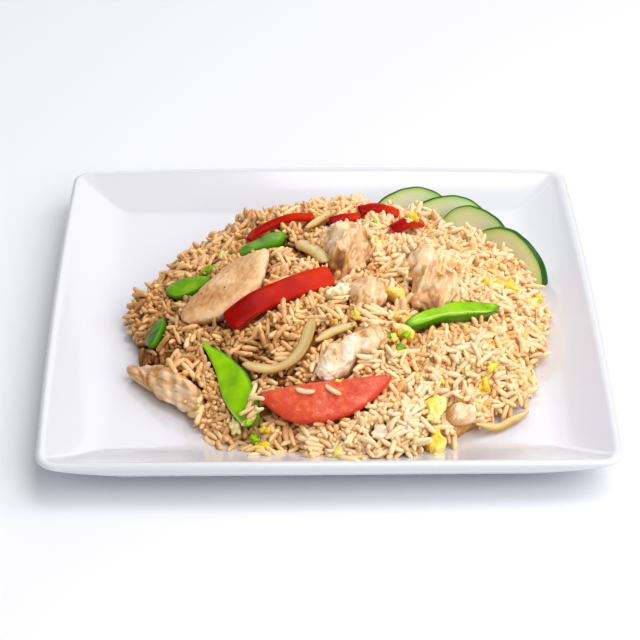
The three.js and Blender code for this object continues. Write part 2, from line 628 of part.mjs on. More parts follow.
// Whole grains that stand out of the heap, more of them along its outline
function looseGrains() {
  const random = randomSource(7);
  const covers = coverDiscs();
  const solids = [];
  for (let i = 0; i < counts.looseTries; i += 1) {
    const atOutline = i % 3 > 0;
    const angle = (i / counts.looseTries) * 2 * Math.PI * 7 + random();
    const out = heapReach(angle) * (atOutline ? 0.965 : 0.3 + 0.6 * random());
    const x = heap.x + out * Math.cos(angle);
    const y = heap.y + out * Math.sin(angle);
    const yaw = angle + (random() - 0.5) * 2.4;
    const climb = 0.1 + 0.5 * random();
    const length = grain.length * (0.8 + 0.4 * random());
    if (covers.every(([cx, cy, r]) => Math.hypot(x - cx, y - cy) > r + grain.length * 0.5)) {
      const direction = new THREE.Vector3(Math.cos(yaw), Math.sin(yaw), atOutline ? 0 : climb).normalize();
      const centre = new THREE.Vector3(x, y, heapTop(x, y) + (atOutline ? 0.1 : 0.9));
      solids.push(grainSolid(centre, direction, length, grain.width));
    }
  }
  return solids;
}

function crumbSolid([x, y, size], i) {
  const outline = [0, 1, 2, 3, 4].map((k) => {
    const angle = (k / 5) * 2 * Math.PI;
    const reach = (size / 2) * (1 + 0.25 * Math.sin(3 * i + 2 * k));
    return [reach * Math.cos(angle), 0.7 * reach * Math.sin(angle)];
  });
  const shape = { top: 2, bottom: 2, bend: 0.8, sides: 5, lift: 0.6, profile: crumbProfile };
  return slab({ at: [x, y], yaw: i * 47, outline, ...shape });
}

// Assembly
const group = new THREE.Group();
group.name = 'plate_of_fried_rice';
function addNode(name, solid, colour, roughness) {
  const material = new THREE.MeshStandardMaterial({ color: colour, roughness, metalness: 0 });
  const mesh = new THREE.Mesh(toGeometry(solid), material);
  mesh.name = name;
  group.add(mesh);
}

const plateCutter = plateSolid(gap);
const sliceCutters = slices.map((piece) => slice(piece, gap));
let rice = heapSolid();
for (const solid of [...looseGrains(), ...crumbs.map(crumbSolid)]) {
  rice = rice.add(solid);
}
rice = rice.subtract(plateCutter);
slices.forEach((piece) => {
  rice = rice.subtract(slice(piece, gap, cucumber.clear));
});
rice = largest(rice);
const riceCutter = rice.add(rice.translate([0, 0, gap]));

addNode('plate', plateSolid(0), '#f2f2f5', 0.15);
addNode('rice', rice, '#dcb98a', 0.5);
slices.forEach((piece, i) => {
  let solid = slice(piece).subtract(plateCutter);
  sliceCutters.slice(0, i).forEach((cutter) => {
    solid = solid.subtract(cutter);
  });
  addNode(piece.name, largest(solid), '#cfdc9c', 0.4);
});
const below = [...sliceCutters];
for (const piece of pieces) {
  let solid = piece.make(piece).subtract(riceCutter).subtract(plateCutter);
  below.forEach((cutter) => {
    solid = solid.subtract(cutter);
  });
  below.push(piece.make(piece, gap));
  addNode(piece.name, largest(solid), ...colours[piece.look]);
}

export default group;
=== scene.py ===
"""Looks of a square white plate heaped with fried rice, chicken, vegetables and egg.

Every shape is worked out in millimetres on the table's frame: +X right, +Y to the far side, +Z up, with the
origin under the middle of the plate. piece() turns millimetres to metres when it fills a mesh.
"""

import bpy
import numpy as np
from mathutils import Matrix


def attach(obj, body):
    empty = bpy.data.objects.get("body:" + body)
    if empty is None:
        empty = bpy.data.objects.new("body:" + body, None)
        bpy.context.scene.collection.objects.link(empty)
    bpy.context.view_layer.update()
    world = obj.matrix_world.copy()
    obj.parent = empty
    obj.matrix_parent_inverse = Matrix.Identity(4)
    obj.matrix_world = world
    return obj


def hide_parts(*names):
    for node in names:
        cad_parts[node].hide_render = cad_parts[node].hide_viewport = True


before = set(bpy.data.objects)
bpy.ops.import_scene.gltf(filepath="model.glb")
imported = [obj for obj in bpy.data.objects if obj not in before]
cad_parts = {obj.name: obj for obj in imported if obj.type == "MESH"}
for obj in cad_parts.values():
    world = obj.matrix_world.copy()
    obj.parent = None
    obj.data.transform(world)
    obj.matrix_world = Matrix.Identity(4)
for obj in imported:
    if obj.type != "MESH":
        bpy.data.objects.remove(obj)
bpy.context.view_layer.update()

MM = 0.001

# Plate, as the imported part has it
HALF, RIM, FLOOR, FLOOR_HALF, FOOT = 135.0, 22.0, 11.5, 106.0, 5.5
BOW, RISE = 2.0, 1.4

# Heap of rice: centre, height over the eating surface, least height over the plate, and roundness of its dome
HEAP_X, HEAP_Y, HEAP_HEIGHT, HEAP_EDGE = 8.0, -14.0, 37.0, 1.4
HEAP_ROUNDNESS, HEAP_SHOULDER = 2.2, 0.55
# Its reach every 15 degrees from +X, waves in it as number, phase and size, and lumps as x, y, width, height
HEAP_REACH = np.array(
    [100, 103, 109, 101, 111, 110, 109, 108, 107, 103, 100, 101, 102, 102, 102, 101, 100, 105, 111, 111,
     109, 107, 105, 102], float,
)
HEAP_WOBBLE = [(9, 1.3, 1.5), (17, 0.4, 1.3), (29, 2.0, 1.0)]
HEAP_LUMPS = [(2, 40, 26, 3.5), (-52, -70, 24, -2.5), (60, -70, 26, 2)]

# Rice grains, the layers' heights over the heap's smooth surface with their shares, clumps as width, height
GRAIN_LENGTH, GRAIN_WIDTH, GRAIN_COUNT = 10.0, 2.75, 6600
LAYERS = [(-4.8, 0.3), (-2.6, 0.32), (-0.4, 0.26), (1.4, 0.12)]
CLUMPS = [(18.0, 3.4), (9.0, 3.0)]
# Lowest height at which a grain is laid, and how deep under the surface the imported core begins
LOWEST, CORE_DEPTH = -5.0, 5.8
RELAX_STEPS = 70

# Multipliers of the noise's hash: for a lattice corner, for the seed and for the last mix
HASH_CORNER, HASH_SEED, HASH_MIX = (73856093, 19349663, 83492791), 2654435761, 1274126177


# Colours and nodes
def linear(hex_colour):
    """sRGB hex to linear RGBA: c / 12.92 near black, else ((c + 0.055) / 1.055) to the power 2.4."""
    c = np.array([int(hex_colour[i : i + 2], 16) for i in (1, 3, 5)]) / 255.0
    low = c / 12.92
    high = ((c + 0.055) / 1.055) ** 2.4
    return (*np.where(c <= 0.04045, low, high), 1.0)


def add(tree, kind, inputs=None, stops=None, **settings):
    """One shader node with its settings, its colour stops, and its inputs set or linked."""
    made = tree.nodes.new(kind)
    for key, value in settings.items():
        setattr(made, key, value)
    if stops:
        ramp = made.color_ramp.elements
        while len(ramp) < len(stops):
            ramp.new(0.5)
        for stop, (place, colour) in zip(ramp, stops):
            stop.position = place
            stop.color = linear(colour)
    for key, value in (inputs or {}).items():
        socket = made.inputs[key]
        if isinstance(value, bpy.types.NodeSocket):
            tree.links.new(value, socket)
        else:
            socket.default_value = linear(value) if isinstance(value, str) else value
    return made


def finish_of(name, **inputs):
    """A material with one Principled shader, whose sockets hold the finish's constant values."""
    made = bpy.data.materials.new(name)
    made.use_nodes = True
    tree = made.node_tree
    tree.nodes.clear()
    shader = add(
        tree, "ShaderNodeBsdfPrincipled", {key.replace("_", " "): value for key, value in inputs.items()}
    )
    add(tree, "ShaderNodeOutputMaterial", {"Surface": shader.outputs[0]})
    return made, tree, shader


# Noise
def noise(points, scale, seed=0):
    """Value noise in -1..1: a hashed number at each corner of a cubic lattice, blended by smoothstep."""
    q = np.asarray(points, float) / scale
    cell = np.floor(q).astype(np.int64)
    f = q - cell
    f = f * f * (3 - 2 * f)
    total = np.zeros(q.shape[:-1])
    for corner in np.ndindex(2, 2, 2):
        h = (cell + np.array(corner)) * np.array(HASH_CORNER)
        h = h[..., 0] ^ h[..., 1] ^ h[..., 2] ^ (seed * HASH_SEED)
        h = ((h ^ (h >> 13)) * HASH_MIX) & 0xFFFFFFFF
        h = ((h ^ (h >> 15)) & 0xFFFF) / 32767.5 - 1
        total += h * np.prod(np.where(corner, f, 1 - f), axis=-1)
    return total


def rough_noise(points, scale, seed=0, octaves=3):
    """Sum of noise, each octave half as wide and half as high."""
    return sum(noise(points, scale / 2**k, seed + k) / 2**k for k in range(octaves))


# Meshes
def piece(name, points, quads, tris, finish, slot, stands_for=(), values=None):
    """A smooth mesh from points in millimetres, with one number per point for each named value."""
    mesh = bpy.data.meshes.new(name)
    quads = np.asarray(quads, np.int32).reshape(-1, 4)
    tris = np.asarray(tris, np.int32).reshape(-1, 3)
    loops = np.concatenate([quads.ravel(), tris.ravel()])
    starts = np.concatenate([np.arange(len(quads)) * 4, len(quads) * 4 + np.arange(len(tris)) * 3])
    mesh.vertices.add(len(points))
    mesh.vertices.foreach_set("co", (np.asarray(points, float) * MM).astype(np.float32).ravel())
    mesh.loops.add(len(loops))
    mesh.loops.foreach_set("vertex_index", loops.astype(np.int32))
    mesh.polygons.add(len(starts))
    mesh.polygons.foreach_set("loop_start", starts.astype(np.int32))
    mesh.polygons.foreach_set("use_smooth", np.ones(len(starts), bool))
    mesh.update(calc_edges=True)
    for key, numbers in (values or {}).items():
        mesh.attributes.new(key, "FLOAT", "POINT").data.foreach_set("value", np.asarray(numbers, np.float32))
    mesh.materials.append(finish)
    made = bpy.data.objects.new(name, mesh)
    bpy.context.scene.collection.objects.link(made)
    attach(made, "root")
    if stands_for:
        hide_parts(*stands_for)
def ring_faces(rows, columns, flip=False):
    """Faces of rows x columns points, closed round, with a fan to a first and a last point added behind."""
    at = np.arange(columns)
    after = (at + 1) % columns
    base = np.arange(rows - 1)[:, None] * columns
    quads = np.stack([base + at, base + after, base + columns + after, base + columns + at], -1)
    first, last, end = rows * columns, rows * columns + 1, (rows - 1) * columns
    tris = np.concatenate([
        np.stack([np.full(columns, first), after, at], -1),
        np.stack([np.full(columns, last), end + at, end + after], -1),
    ])
    quads = quads.reshape(-1, 4)
    return (quads[:, ::-1], tris[:, ::-1]) if flip else (quads, tris)


def grid_piece(name, points, values, finish, slot, stands_for):
    """A piece from a grid that is closed round, and closed at its ends by the middles of the end rings."""
    rows = np.concatenate([points.reshape(-1, 3), points[[0, -1]].mean(1)])
    spread = {key: np.concatenate([x.ravel(), x[[0, -1]].mean(1)]) for key, x in values.items()}
    piece(name, rows, *ring_faces(*points.shape[:2]), finish, slot, (stands_for,), spread)


def many(name, points, sides, values, finish, slot, flip=False):
    """Bodies of one kind as one mesh: each is rings of so many sides, and then its two tips."""
    count, each = points.shape[:2]
    quads, tris = ring_faces((each - 2) // sides, sides, flip)
    offset = (np.arange(count) * each)[:, None, None]
    piece(name, points.reshape(-1, 3), quads + offset, tris + offset, finish, slot, (), values)


def unit(v):
    """Vectors brought to length 1."""
    return v / np.maximum(np.linalg.norm(v, axis=-1, keepdims=True), 1e-9)


# The plate and the heap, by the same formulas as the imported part
# Rings of the plate's inner wall: half side, height, corner radius
INNER_WALL = np.array([
    [HALF - 4, RIM - 0.6, 7], [HALF - 8, RIM - 2.6, 5], [HALF - 15, RIM - 5.8, 4],
    [HALF - 22, RIM - 8.6, 3.5], [FLOOR_HALF + 2, FLOOR + 0.5, 3], [FLOOR_HALF - 3, FLOOR + 0.05, 4],
])


def plate_top(x, y):
    """Height of the plate's upper face: the wall's heights read at the larger of |x| and |y|."""
    return np.interp(np.maximum(np.abs(x), np.abs(y)), INNER_WALL[::-1, 0], INNER_WALL[::-1, 1])


def heap_reach(angle):
    """Distance from the heap's centre to its outline: smoothstep between the reaches, plus three waves."""
    step = (angle / (2 * np.pi)) % 1 * len(HEAP_REACH)
    i = np.floor(step).astype(int) % len(HEAP_REACH)
    t = step - np.floor(step)
    t = t * t * (3 - 2 * t)
    reach = HEAP_REACH[i] * (1 - t) + HEAP_REACH[(i + 1) % len(HEAP_REACH)] * t
    return reach + sum(size * np.sin(waves * angle + phase) for waves, phase, size in HEAP_WOBBLE)


def heap_share(x, y):
    """0 at the heap's centre and 1 at its outline."""
    return np.hypot(x - HEAP_X, y - HEAP_Y) / heap_reach(np.arctan2(y - HEAP_Y, x - HEAP_X))


def heap_top(x, y):
    """Height of the smooth heap: a flat-topped dome with low waves and round lumps, never under the plate."""
    u = np.minimum(1, heap_share(x, y))
    dome = HEAP_HEIGHT * (1 - u**HEAP_ROUNDNESS) ** HEAP_SHOULDER
    lumps = 0.9 * np.sin(x / 7 + 0.6 * np.sin(y / 11)) * np.sin(y / 8)
    for cx, cy, spread, height in HEAP_LUMPS:
        lumps = lumps + height * np.exp(-((x - cx) ** 2 + (y - cy) ** 2) / (2 * spread**2))
    return np.maximum(FLOOR + dome + lumps * np.minimum(1, 4 * (1 - u)), plate_top(x, y) + HEAP_EDGE)


def heap_normal(x, y, step=4.0):
    """Unit normal of the smooth heap, from height differences 4 mm to each side."""
    dx = (heap_top(x + step, y) - heap_top(x - step, y)) / (2 * step)
    dy = (heap_top(x, y + step) - heap_top(x, y - step)) / (2 * step)
    return unit(np.stack([-dx, -dy, np.ones_like(dx)], -1))


def seat(at, yaw):
    """Point, normal, direction ahead and direction aside where a piece lies on the heap."""
    x, y = np.array(at[0], float), np.array(at[1], float)
    normal = heap_normal(x, y)
    ahead = np.array([np.cos(np.radians(yaw)), np.sin(np.radians(yaw)), 0.0])
    ahead = unit(ahead - normal * (ahead @ normal))
    return np.array([x, y, heap_top(x, y)]), normal, ahead, np.cross(normal, ahead)


def draped(item, u, v, w):
    """Local u, v, w to the heap: on its tangent plane at bend 0, following its surface at bend 1."""
    point, normal, ahead, side = seat(item["at"], item["yaw"])
    stiff = point + u[..., None] * ahead + v[..., None] * side
    soft = stiff.copy()
    soft[..., 2] = heap_top(stiff[..., 0], stiff[..., 1])
    bend = item.get("bend", 0.5)
    place = stiff * (1 - bend) + soft * bend
    up = unit(normal * (1 - bend) + heap_normal(stiff[..., 0], stiff[..., 1]) * bend)
    return place + up * (w + item.get("lift", 0) + item.get("roll", 0) * v)[..., None]


def smooth_curve(knots, count, closed):
    """Catmull-Rom curve through the knots, read at equal steps of its length."""
    knots = np.asarray(knots, float)
    n = len(knots)
    spans = n if closed else n - 1
    t = np.linspace(0, spans, 40 * spans + 1)
    i = np.minimum(t.astype(int), spans - 1)
    f = (t - i)[:, None]
    if closed:
        p0, p1, p2, p3 = (knots[(i + k) % n] for k in (-1, 0, 1, 2))
    else:
        ends = np.vstack([2 * knots[0] - knots[1], knots, 2 * knots[-1] - knots[-2]])
        p0, p1, p2, p3 = (ends[i + k] for k in (0, 1, 2, 3))
    curve = 0.5 * (
        2 * p1 + (p2 - p0) * f + (2 * p0 - 5 * p1 + 4 * p2 - p3) * f**2 + (3 * p1 - p0 - 3 * p2 + p3) * f**3
    )
    length = np.concatenate([[0], np.cumsum(np.linalg.norm(np.diff(curve, axis=0), axis=1))])
    at = np.linspace(0, length[-1], count, endpoint=not closed)
    return np.stack([np.interp(at, length, curve[:, k]) for k in range(curve.shape[1])], -1)


# What lies on the rice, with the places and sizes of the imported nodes. A slab lies at a place, turned by yaw:
# top is its height, lift how high it lies, bend how far it follows the heap, outline its edge in u and v.
# A strip has a path of x, y and height over the heap, and ends is how thick it is at its ends.
PEAS = {
    "snow_pea_behind": dict(
        at=(-29, 17), yaw=24, top=2.6, bend=0.9, lift=1, deep=0.75,
        outline=[(-16, -1), (-8, 5), (-1, 5), (6, 6), (12, 2.5), (8, -3), (3, -4.5), (-4, -4), (-12, -4.5)],
    ),
    "snow_pea_left": dict(
        at=(-68, -7), yaw=0, top=2.6, bend=0.8, lift=0.8, deep=0.45,
        outline=[(-12, 3), (-8, 6.5), (-1, 6), (7, 3), (13, 0), (10, -4), (4, -7), (-4, -6.5), (-10, -2)],
    ),
    "snow_pea_far_left": dict(
        at=(-83, -35), yaw=62, top=2.4, bend=0.8, lift=0.8, deep=0.9,
        outline=[(-9, -2), (-5, 4), (2, 5), (9, 3), (10, -2), (3, -5), (-5, -5)],
    ),
    "snow_pea_right": dict(
        at=(58, -45), yaw=24, top=2.4, bend=0.6, lift=1.3, deep=0.05, keel=-2.6,
        outline=[
            (-27, -6), (-24, -1), (-17, 2), (-4, 4.5), (8, 6.5), (21, 6), (31, 4.5), (32, 3), (26, -1),
            (16, -2.5), (2, -4), (-11, -4.5), (-21, -6),
        ],
    ),
    "snow_pea_front": dict(
        at=(-47, -81), yaw=-58, top=2.4, bend=0.55, lift=1.3, deep=0.0, line=1,
        outline=[
            (-32.5, 4.2), (-26, 6.4), (-19, 8.6), (-9.5, 10.4), (0.7, 10.8), (9.6, 9.3), (18.5, 6.8),
            (25, 4), (28, 1.6), (27, -1.5), (23, -4.8), (15.6, -7), (9.4, -6.8), (-2.2, -3.4), (-12.3, 0),
            (-23.4, 2.4),
        ],
    ),
}
CHICKEN = {
    "chicken_slice_left": dict(
        at=(-49, -17), yaw=42, top=6.5, bend=0.35, ridge=0.4, fibre=25,
        lumpy=0.25, tan=0.48, slant=-0.005, patchy=0.15, edge=-0.2, ragged=0.5, dash=0.2, crease=0.25,
        outline=[
            (-30, -0.5), (-26, 3.4), (-15.5, 6.5), (-3, 7.8), (6, 8.6), (16, 8.3), (23.5, 6.3), (30, 3.5),
            (31, 0.4), (24, -5.6), (16, -11.5), (6, -17.5), (-5, -19), (-13, -17.6), (-18, -15.4), (-22, -12),
            (-26, -8), (-29.5, -4),
        ],
    ),
    "chicken_chunk_back": dict(
        at=(12, 0), yaw=84, top=14, bend=0.3, rough=2.4, chunk=True, fibre=20,
        lumpy=1.2, tan=0.2, patchy=0.3, ragged=1.6,
        golden=[(14, -5, 7, 0.5), (-16, 4, 6, 0.4), (2, -10, 5, 0.35)],
        outline=[
            (-18, -4), (-19, 2), (-16, 7), (-9, 11), (2, 12), (10, 12.5), (16, 11), (19, 5), (18, -3),
            (12, -8), (3, -11), (-6, -9), (-13, -7),
        ],
    ),
    "chicken_chunk_middle": dict(
        at=(20, -34), yaw=10, top=9, bend=0.4, rough=1.6, chunk=True, fibre=80,
        lumpy=1.1, tan=0.24, patchy=0.3, ragged=1.4, golden=[(3, 9, 5, 0.4)],
        outline=[(-10, -4), (-9, 4), (-2, 11), (6, 10.5), (9, 3), (8, -4), (3, -10), (-4, -12), (-8, -8)],
    ),
    "chicken_chunk_right": dict(
        at=(51, -24), yaw=100, top=11.5, bend=0.5, rough=2.0, chunk=True, fibre=-15,
        lumpy=1.1, tan=0.28, patchy=0.25, ragged=1.4,
        golden=[(-20, 4, 5, 0.3), (24, 4, 5, 0.3), (2, -9, 4, 0.3)],
        outline=[
            (-23, 3), (-20, 10), (-15, 13), (-5, 11.5), (5, 8.5), (12, 9), (20, 9), (29, 5), (34, -2),
            (30, -8), (21, -8), (12, -11), (2, -13), (-11, -10), (-18, -4),
        ],
    ),
    "chicken_strip_centre": dict(
        at=(12, -75), yaw=38, top=6.5, bend=0.5, ridge=0.9, lift=1, fibre=75,
        lumpy=0.7, tan=0.03, patchy=0.2, slant=0.013, ragged=1.0, golden=[(12, 4, 8, 0.25)],
        outline=[
            (-24, -3), (-19, 3), (-13, 7), (-5, 6.5), (3, 6), (10, 6), (19, 3.5), (22, -1), (17, -6),
            (10, -7.5), (3, -7), (-2, -5.5), (-6, -7), (-12, -9), (-20, -7),
        ],
    ),
    "chicken_strip_front_left": dict(
        at=(-76, -67), yaw=-46, top=6.5, bend=0.6, ridge=0.6, fibre=10,
        lumpy=0.7, tan=0.3, patchy=0.6, ragged=0.8,
        outline=[(-27, -4), (-20, 6), (-6, 9), (10, 8), (21, 6), (26, -1), (18, -7), (2, -8), (-16, -8)],
    ),
    "chicken_cube_front": dict(
        at=(61, -100), yaw=5, top=5, bend=0.4, lift=0.8, fibre=40,
        lumpy=0.5, tan=0.16, patchy=0.2, ragged=0.4,
        outline=[(-6, -4), (-6, 4), (0, 5), (6, 4), (6, -3), (0, -5)],
    ),
}
TOMATO = {
    "tomato_wedge": dict(
        at=(-1, -101), yaw=6, top=5, bend=0.35, lift=1.5, roll=0.08,
        outline=[
            (-30.8, 7), (-28.5, 8.5), (-20.5, 9.1), (-8, 9.2), (7.5, 8.8), (18.5, 8.4), (28.6, 8.8),
            (30.6, 7), (28, 3.2), (21, -3), (12, -8), (-2.6, -10.2), (-15, -8.4), (-23, -2.8), (-28.5, 3.2),
        ],
    ),
}
EGG = {
    "egg_white_centre": dict(
        at=(7, -33), yaw=12, top=3.8, bend=0.6, lift=1, white=0.9,
        outline=[(-8, -2), (-3, 3), (5, 4), (6, -2), (0, -4)],
    ),
    "egg_white_front": dict(
        at=(23, -116), yaw=10, top=3, bend=0.8, lift=1, white=0.8,
        outline=[(-5, -2), (-2, 3), (4, 2), (5, -2), (0, -3)],
    ),
    "egg_bent_right": dict(
        at=(33, -33), yaw=-20, top=3.4, bend=0.8, lift=1, white=0.0,
        outline=[(-6, 1), (0, 3.5), (6, 1), (5, -4), (0, -1.5)],
    ),
    "egg_strip_right": dict(
        at=(36, -63), yaw=-32, top=3.2, bend=0.8, lift=1, white=0.1,
        outline=[(-7, 1), (0, 2.6), (6, 1), (5, -2), (0, -2.4), (-6, -2)],
    ),
    "egg_front_upper": dict(
        at=(49, -101), yaw=75, top=3.6, bend=0.8, lift=1, white=0.25,
        outline=[(-7, -3), (-4, 3), (4, 3), (7, -1), (2, -4)],
    ),
    "egg_front_lower": dict(
        at=(49, -115), yaw=65, top=3.2, bend=0.8, lift=1, white=0.0,
        outline=[(-6, -3), (-3, 3), (5, 4), (7, 0), (2, -4)],
    ),
}
ONION = {
    "onion_arc": dict(
        width=6.8, thick=2.2, roll=-20, ends=0.6, cup=0.5,
        path=[
            (-39, -73, 2.6), (-33, -79, 3.4), (-25, -82, 3.8), (-17, -79, 3.8), (-11, -71, 3.6), (-7, -54, 3),
        ],
    ),
    "onion_back": dict(
        width=8, thick=2, ends=0.6, path=[(-13, 14, 2.2), (-8, 7, 2.8), (-3, 0, 2.8), (0, -8, 2.2)],
    ),
    "onion_top": dict(
        width=4.5, thick=2, ends=0.4, path=[(-9, 25, 2.6), (-3, 32, 3.6), (2, 39, 3.6), (6, 46, 2.6)],
    ),
    "onion_leaf": dict(width=5, thick=2, ends=0.3, path=[(-6, -68, 2), (2, -62, 2.8), (14, -57, 2)]),
    "onion_sliver_right": dict(
        width=4.5, thick=2.2, ends=0.2,
        path=[(67, -100, 2.6), (78, -95, 2.8), (87, -90, 2.2), (95, -83, 1.4)],
    ),
}
PEPPER = {
    "pepper_strip_centre": dict(
        width=11.5, thick=3.4, roll=26, ends=0.9,
        path=[(-47, -48, 3.8), (-34, -40, 4.8), (-20, -32, 4.8), (-8, -25.5, 4.2), (3, -20.5, 3.2)],
    ),
    "pepper_arc_back_left": dict(
        width=4.6, thick=2.6, roll=35, ends=0.9,
        path=[(-37, 21, 2.6), (-34, 29, 3.2), (-25, 35, 3.4), (-15, 37, 3.4), (-5, 36, 3)],
    ),
    "pepper_strip_back": dict(
        width=5, thick=2.6, roll=35, ends=0.9, path=[(3, 30, 3.4), (10, 33, 4), (18, 38, 3.4)],
    ),
    "pepper_strip_far": dict(
        width=6, thick=2.6, roll=30, ends=0.9, path=[(18, 46, 3.6), (28, 51, 4.2), (39, 50, 3)],
    ),
    "pepper_curl_right": dict(
        width=6.2, thick=2.6, roll=18, ends=0.9, path=[(34, 26, 3), (42, 36, 4.4), (50, 46, 3)],
    ),
}
SLICES = {
    "cucumber_slice_1": dict(centre=(49.5, 86.5, 12.3), turn=1, lean=8, radius=24.7, thick=2.4),
    "cucumber_slice_2": dict(centre=(67.6, 83, 10.6), turn=0, lean=1, radius=24.7, thick=2.2),
    "cucumber_slice_3": dict(centre=(79.7, 63, 12.9), turn=-39.5, lean=12.5, radius=24.8, thick=3),
    "cucumber_slice_4": dict(centre=(94.3, 41.9, 12.6), turn=-42.5, lean=7, radius=24.9, thick=5),
}


# Slabs: chicken, pods, tomato and egg
def slab_level(item, share):
    """Share of a slab's height at a share of its outline: (1 - share^n)^0.6, n 6, or 2.6 for a chunk."""
    return np.maximum(1 - share ** (2.6 if item.get("chunk") else 6), 0) ** 0.6


def slab_grid(item, around, over):
    """Grid of a slab: the outline's rays by rows that go from under its middle, round its edge, to its top.

    Each point lies at a share of its ray. The edge falls steeply, and the underside, which is flat, lies in
    the rice. A ragged outline moves in and out by noise.
    """
    rim = smooth_curve(item["outline"], around, True)
    middle = rim.mean(0)
    below, bottom = [0.3, 0.7, 0.92], -3
    share = np.concatenate([below, np.sin(np.linspace(np.pi / 2, 0.02, over))])
    foot = 0.05 if item.get("chunk") else 0.35
    height = item["top"] * (foot + (1 - foot) * slab_level(item, share))
    height[: len(below)] = bottom
    torn = item.get("ragged", 0) * rough_noise(np.column_stack([rim, rim[:, 0] * 0]), 3.5, 6)
    out = 1 + share[:, None] ** 4 * torn / np.linalg.norm(rim - middle, axis=1)
    arm = (rim - middle)[None] * (share[:, None] * out)[..., None] + middle
    top = (np.arange(len(share)) >= len(below))[:, None] & np.ones(around, bool)
    return arm[..., 0], arm[..., 1], np.repeat(height[:, None], around, 1), top, share


def slab(name, item, finish, slot, relief, around=96, over=26, lumps=None):
    """A slab whose top is raised by relief(), which also gives back its values by point.

    lumps() then moves each point along its normal, which is found from its neighbours in the grid, and may
    change the values.
    """
    u, v, w, top, share = slab_grid(item, around, over)
    ridge = item.get("ridge", 0) * np.sin(u * 0.75 + v * 0.45) * (1 - share**2)[:, None]
    rough = item.get("rough", 0) * np.sin(u * 0.42 + 1.1) * np.sin(v * 0.5 + 0.5) * (1 - share**6)[:, None]
    shift, values = relief(item, u, v, np.repeat(share[:, None], around, 1))
    points = draped(item, u, v, w + np.where(top, ridge + rough + shift, 0))
    if lumps:
        normal = unit(np.cross(np.gradient(points, axis=0), np.roll(points, -1, 1) - np.roll(points, 1, 1)))
        normal = normal * np.sign((normal * (points - points.mean((0, 1)))).sum())
        points = points + normal * (top * lumps(item, points, values))[..., None]
    grid_piece(name, points, values, finish, slot, name)


def rounded(points, size, seed):
    """Round lumps with soft creases between them: the root of noise squared plus a little."""
    return np.sqrt(noise(points, size, seed) ** 2 + 0.02)


def meat_seed(item):
    """A whole number from an item's place, so that no two pieces of meat are alike."""
    return int(abs(item["at"][0] * 7 + item["at"][1] * 13))


def fibre_axes(x, y, degrees):
    """Coordinates along and across fibres that run at so many degrees from the x axis."""
    turn = np.radians(degrees)
    return x * np.cos(turn) + y * np.sin(turn), y * np.cos(turn) - x * np.sin(turn)


def meat_lumps(item, points, values):
    """Lobes 10 mm wide, on them bundles of fibres 1.9 mm wide that run one way, and an uneven skin at 1.3 mm.

    The creases between bundles, and between lobes, are darker, and the lobes' crowns lighter: painted shade.
    """
    seed = meat_seed(item)
    along, across = fibre_axes(points[..., 0], points[..., 1], item["fibre"] + item["yaw"])
    z = points[..., 2]
    lobes = rounded(points, 10, seed)
    slant = np.stack([along / 4, 0.8 * across + 0.6 * z, 0.4 * z - 0.3 * across], -1)
    bundles = rounded(slant, 1.9, seed + 1)
    # Painted shade: creases darker, lobe crowns lighter.
    crease = item.get("crease", 0.95) * np.clip(0.4 - bundles, 0, 1) + 0.25 * (0.4 - lobes)
    values["brown"] = np.clip(values["brown"] + crease, 0, 1)
    skin = noise(points, 1.3, seed + 2)
    return item["lumpy"] * (3.2 * lobes + 0.8 * bundles - 1.6) + 0.2 * skin


def meat_relief(item, u, v, share):
    """Fine fibres, and how far the pan has coloured the meat.

    brown is more in wide patches and at the edge, in short dashes along the fibres, and in the round golden
    spots that an item lists as u, v, radius and share.
    """
    seed = meat_seed(item)
    along, across = fibre_axes(u, v, item["fibre"])
    height = item["top"] * np.maximum(1 - share**4, 0) ** 0.6
    fibre = noise(np.stack([along / 6.0, across, height * 0.4], -1), 0.75, seed + 9)
    stain = rough_noise(np.stack([u, v, height], -1), 12, seed + 3, 2)
    edge = np.clip((share - 0.75) / 0.25, 0, 1)
    dash = np.clip(fibre - 0.2, 0, 1) * item.get("dash", 0.15)
    brown = item["tan"] + 0.5 * item["patchy"] * stain + dash
    brown = brown + item.get("edge", 0.1) * edge + item.get("slant", 0) * u
    for at_u, at_v, wide, much in item.get("golden", []):
        brown = brown + much * np.exp(-(((u - at_u) ** 2 + (v - at_v) ** 2) / wide**2))
    return 0.14 * fibre, {"brown": np.clip(brown, 0, 1)}


def pod_relief(item, u, v, share):
    """Flat peas show as round swellings every 9 mm along the pod, its seams are raised, and so is its keel.

    deep is how dark a green the skin has: an item's own value, changed in broad patches, and more below the
    keel, where the pod faces down, as painted shade. The highlight value is 1 on a painted highlight: a light
    line on the keel or along one side.
    """
    place = np.stack([u, v, share], -1)
    peas = np.exp(-(v**2) / 14) * (0.5 + 0.5 * np.cos(u * 2 * np.pi / 9)) * 0.4
    seam = 0.35 * np.exp(-(((share - 0.93) / 0.05) ** 2))
    # Painted highlight: a light line along one side of the pod.
    left = np.clip(item.get("line", 0) * (3.2 - 0.13 * u - v), 0, 1)
    painted_highlight = left * np.clip((share - 0.9) * 20, 0, 1) * (share < 0.975)
    rise = peas * (share < 0.9) + seam + 0.35 * noise(place, 9, 31)
    deep = item["deep"] + 0.25 * noise(place, 11, 32)
    if "keel" in item:
        off = v - item["keel"] - 0.05 * u
        rise = rise + 1.1 * np.exp(-np.abs(off) / 1.6) - 0.5
        # Painted shade: darker green below the keel.
        deep = deep + 0.3 * np.clip(-off, 0, 1)
        # Painted highlight along the keel.
        painted_highlight = np.exp(-((off / 0.4) ** 2)) * (share < 0.96)
    dark = np.clip((share - 0.84) * 8, 0, 1) - painted_highlight
    return rise, {"seam": np.clip(dark, 0, 1), "painted_highlight": painted_highlight, "deep": np.clip(deep, 0, 1)}


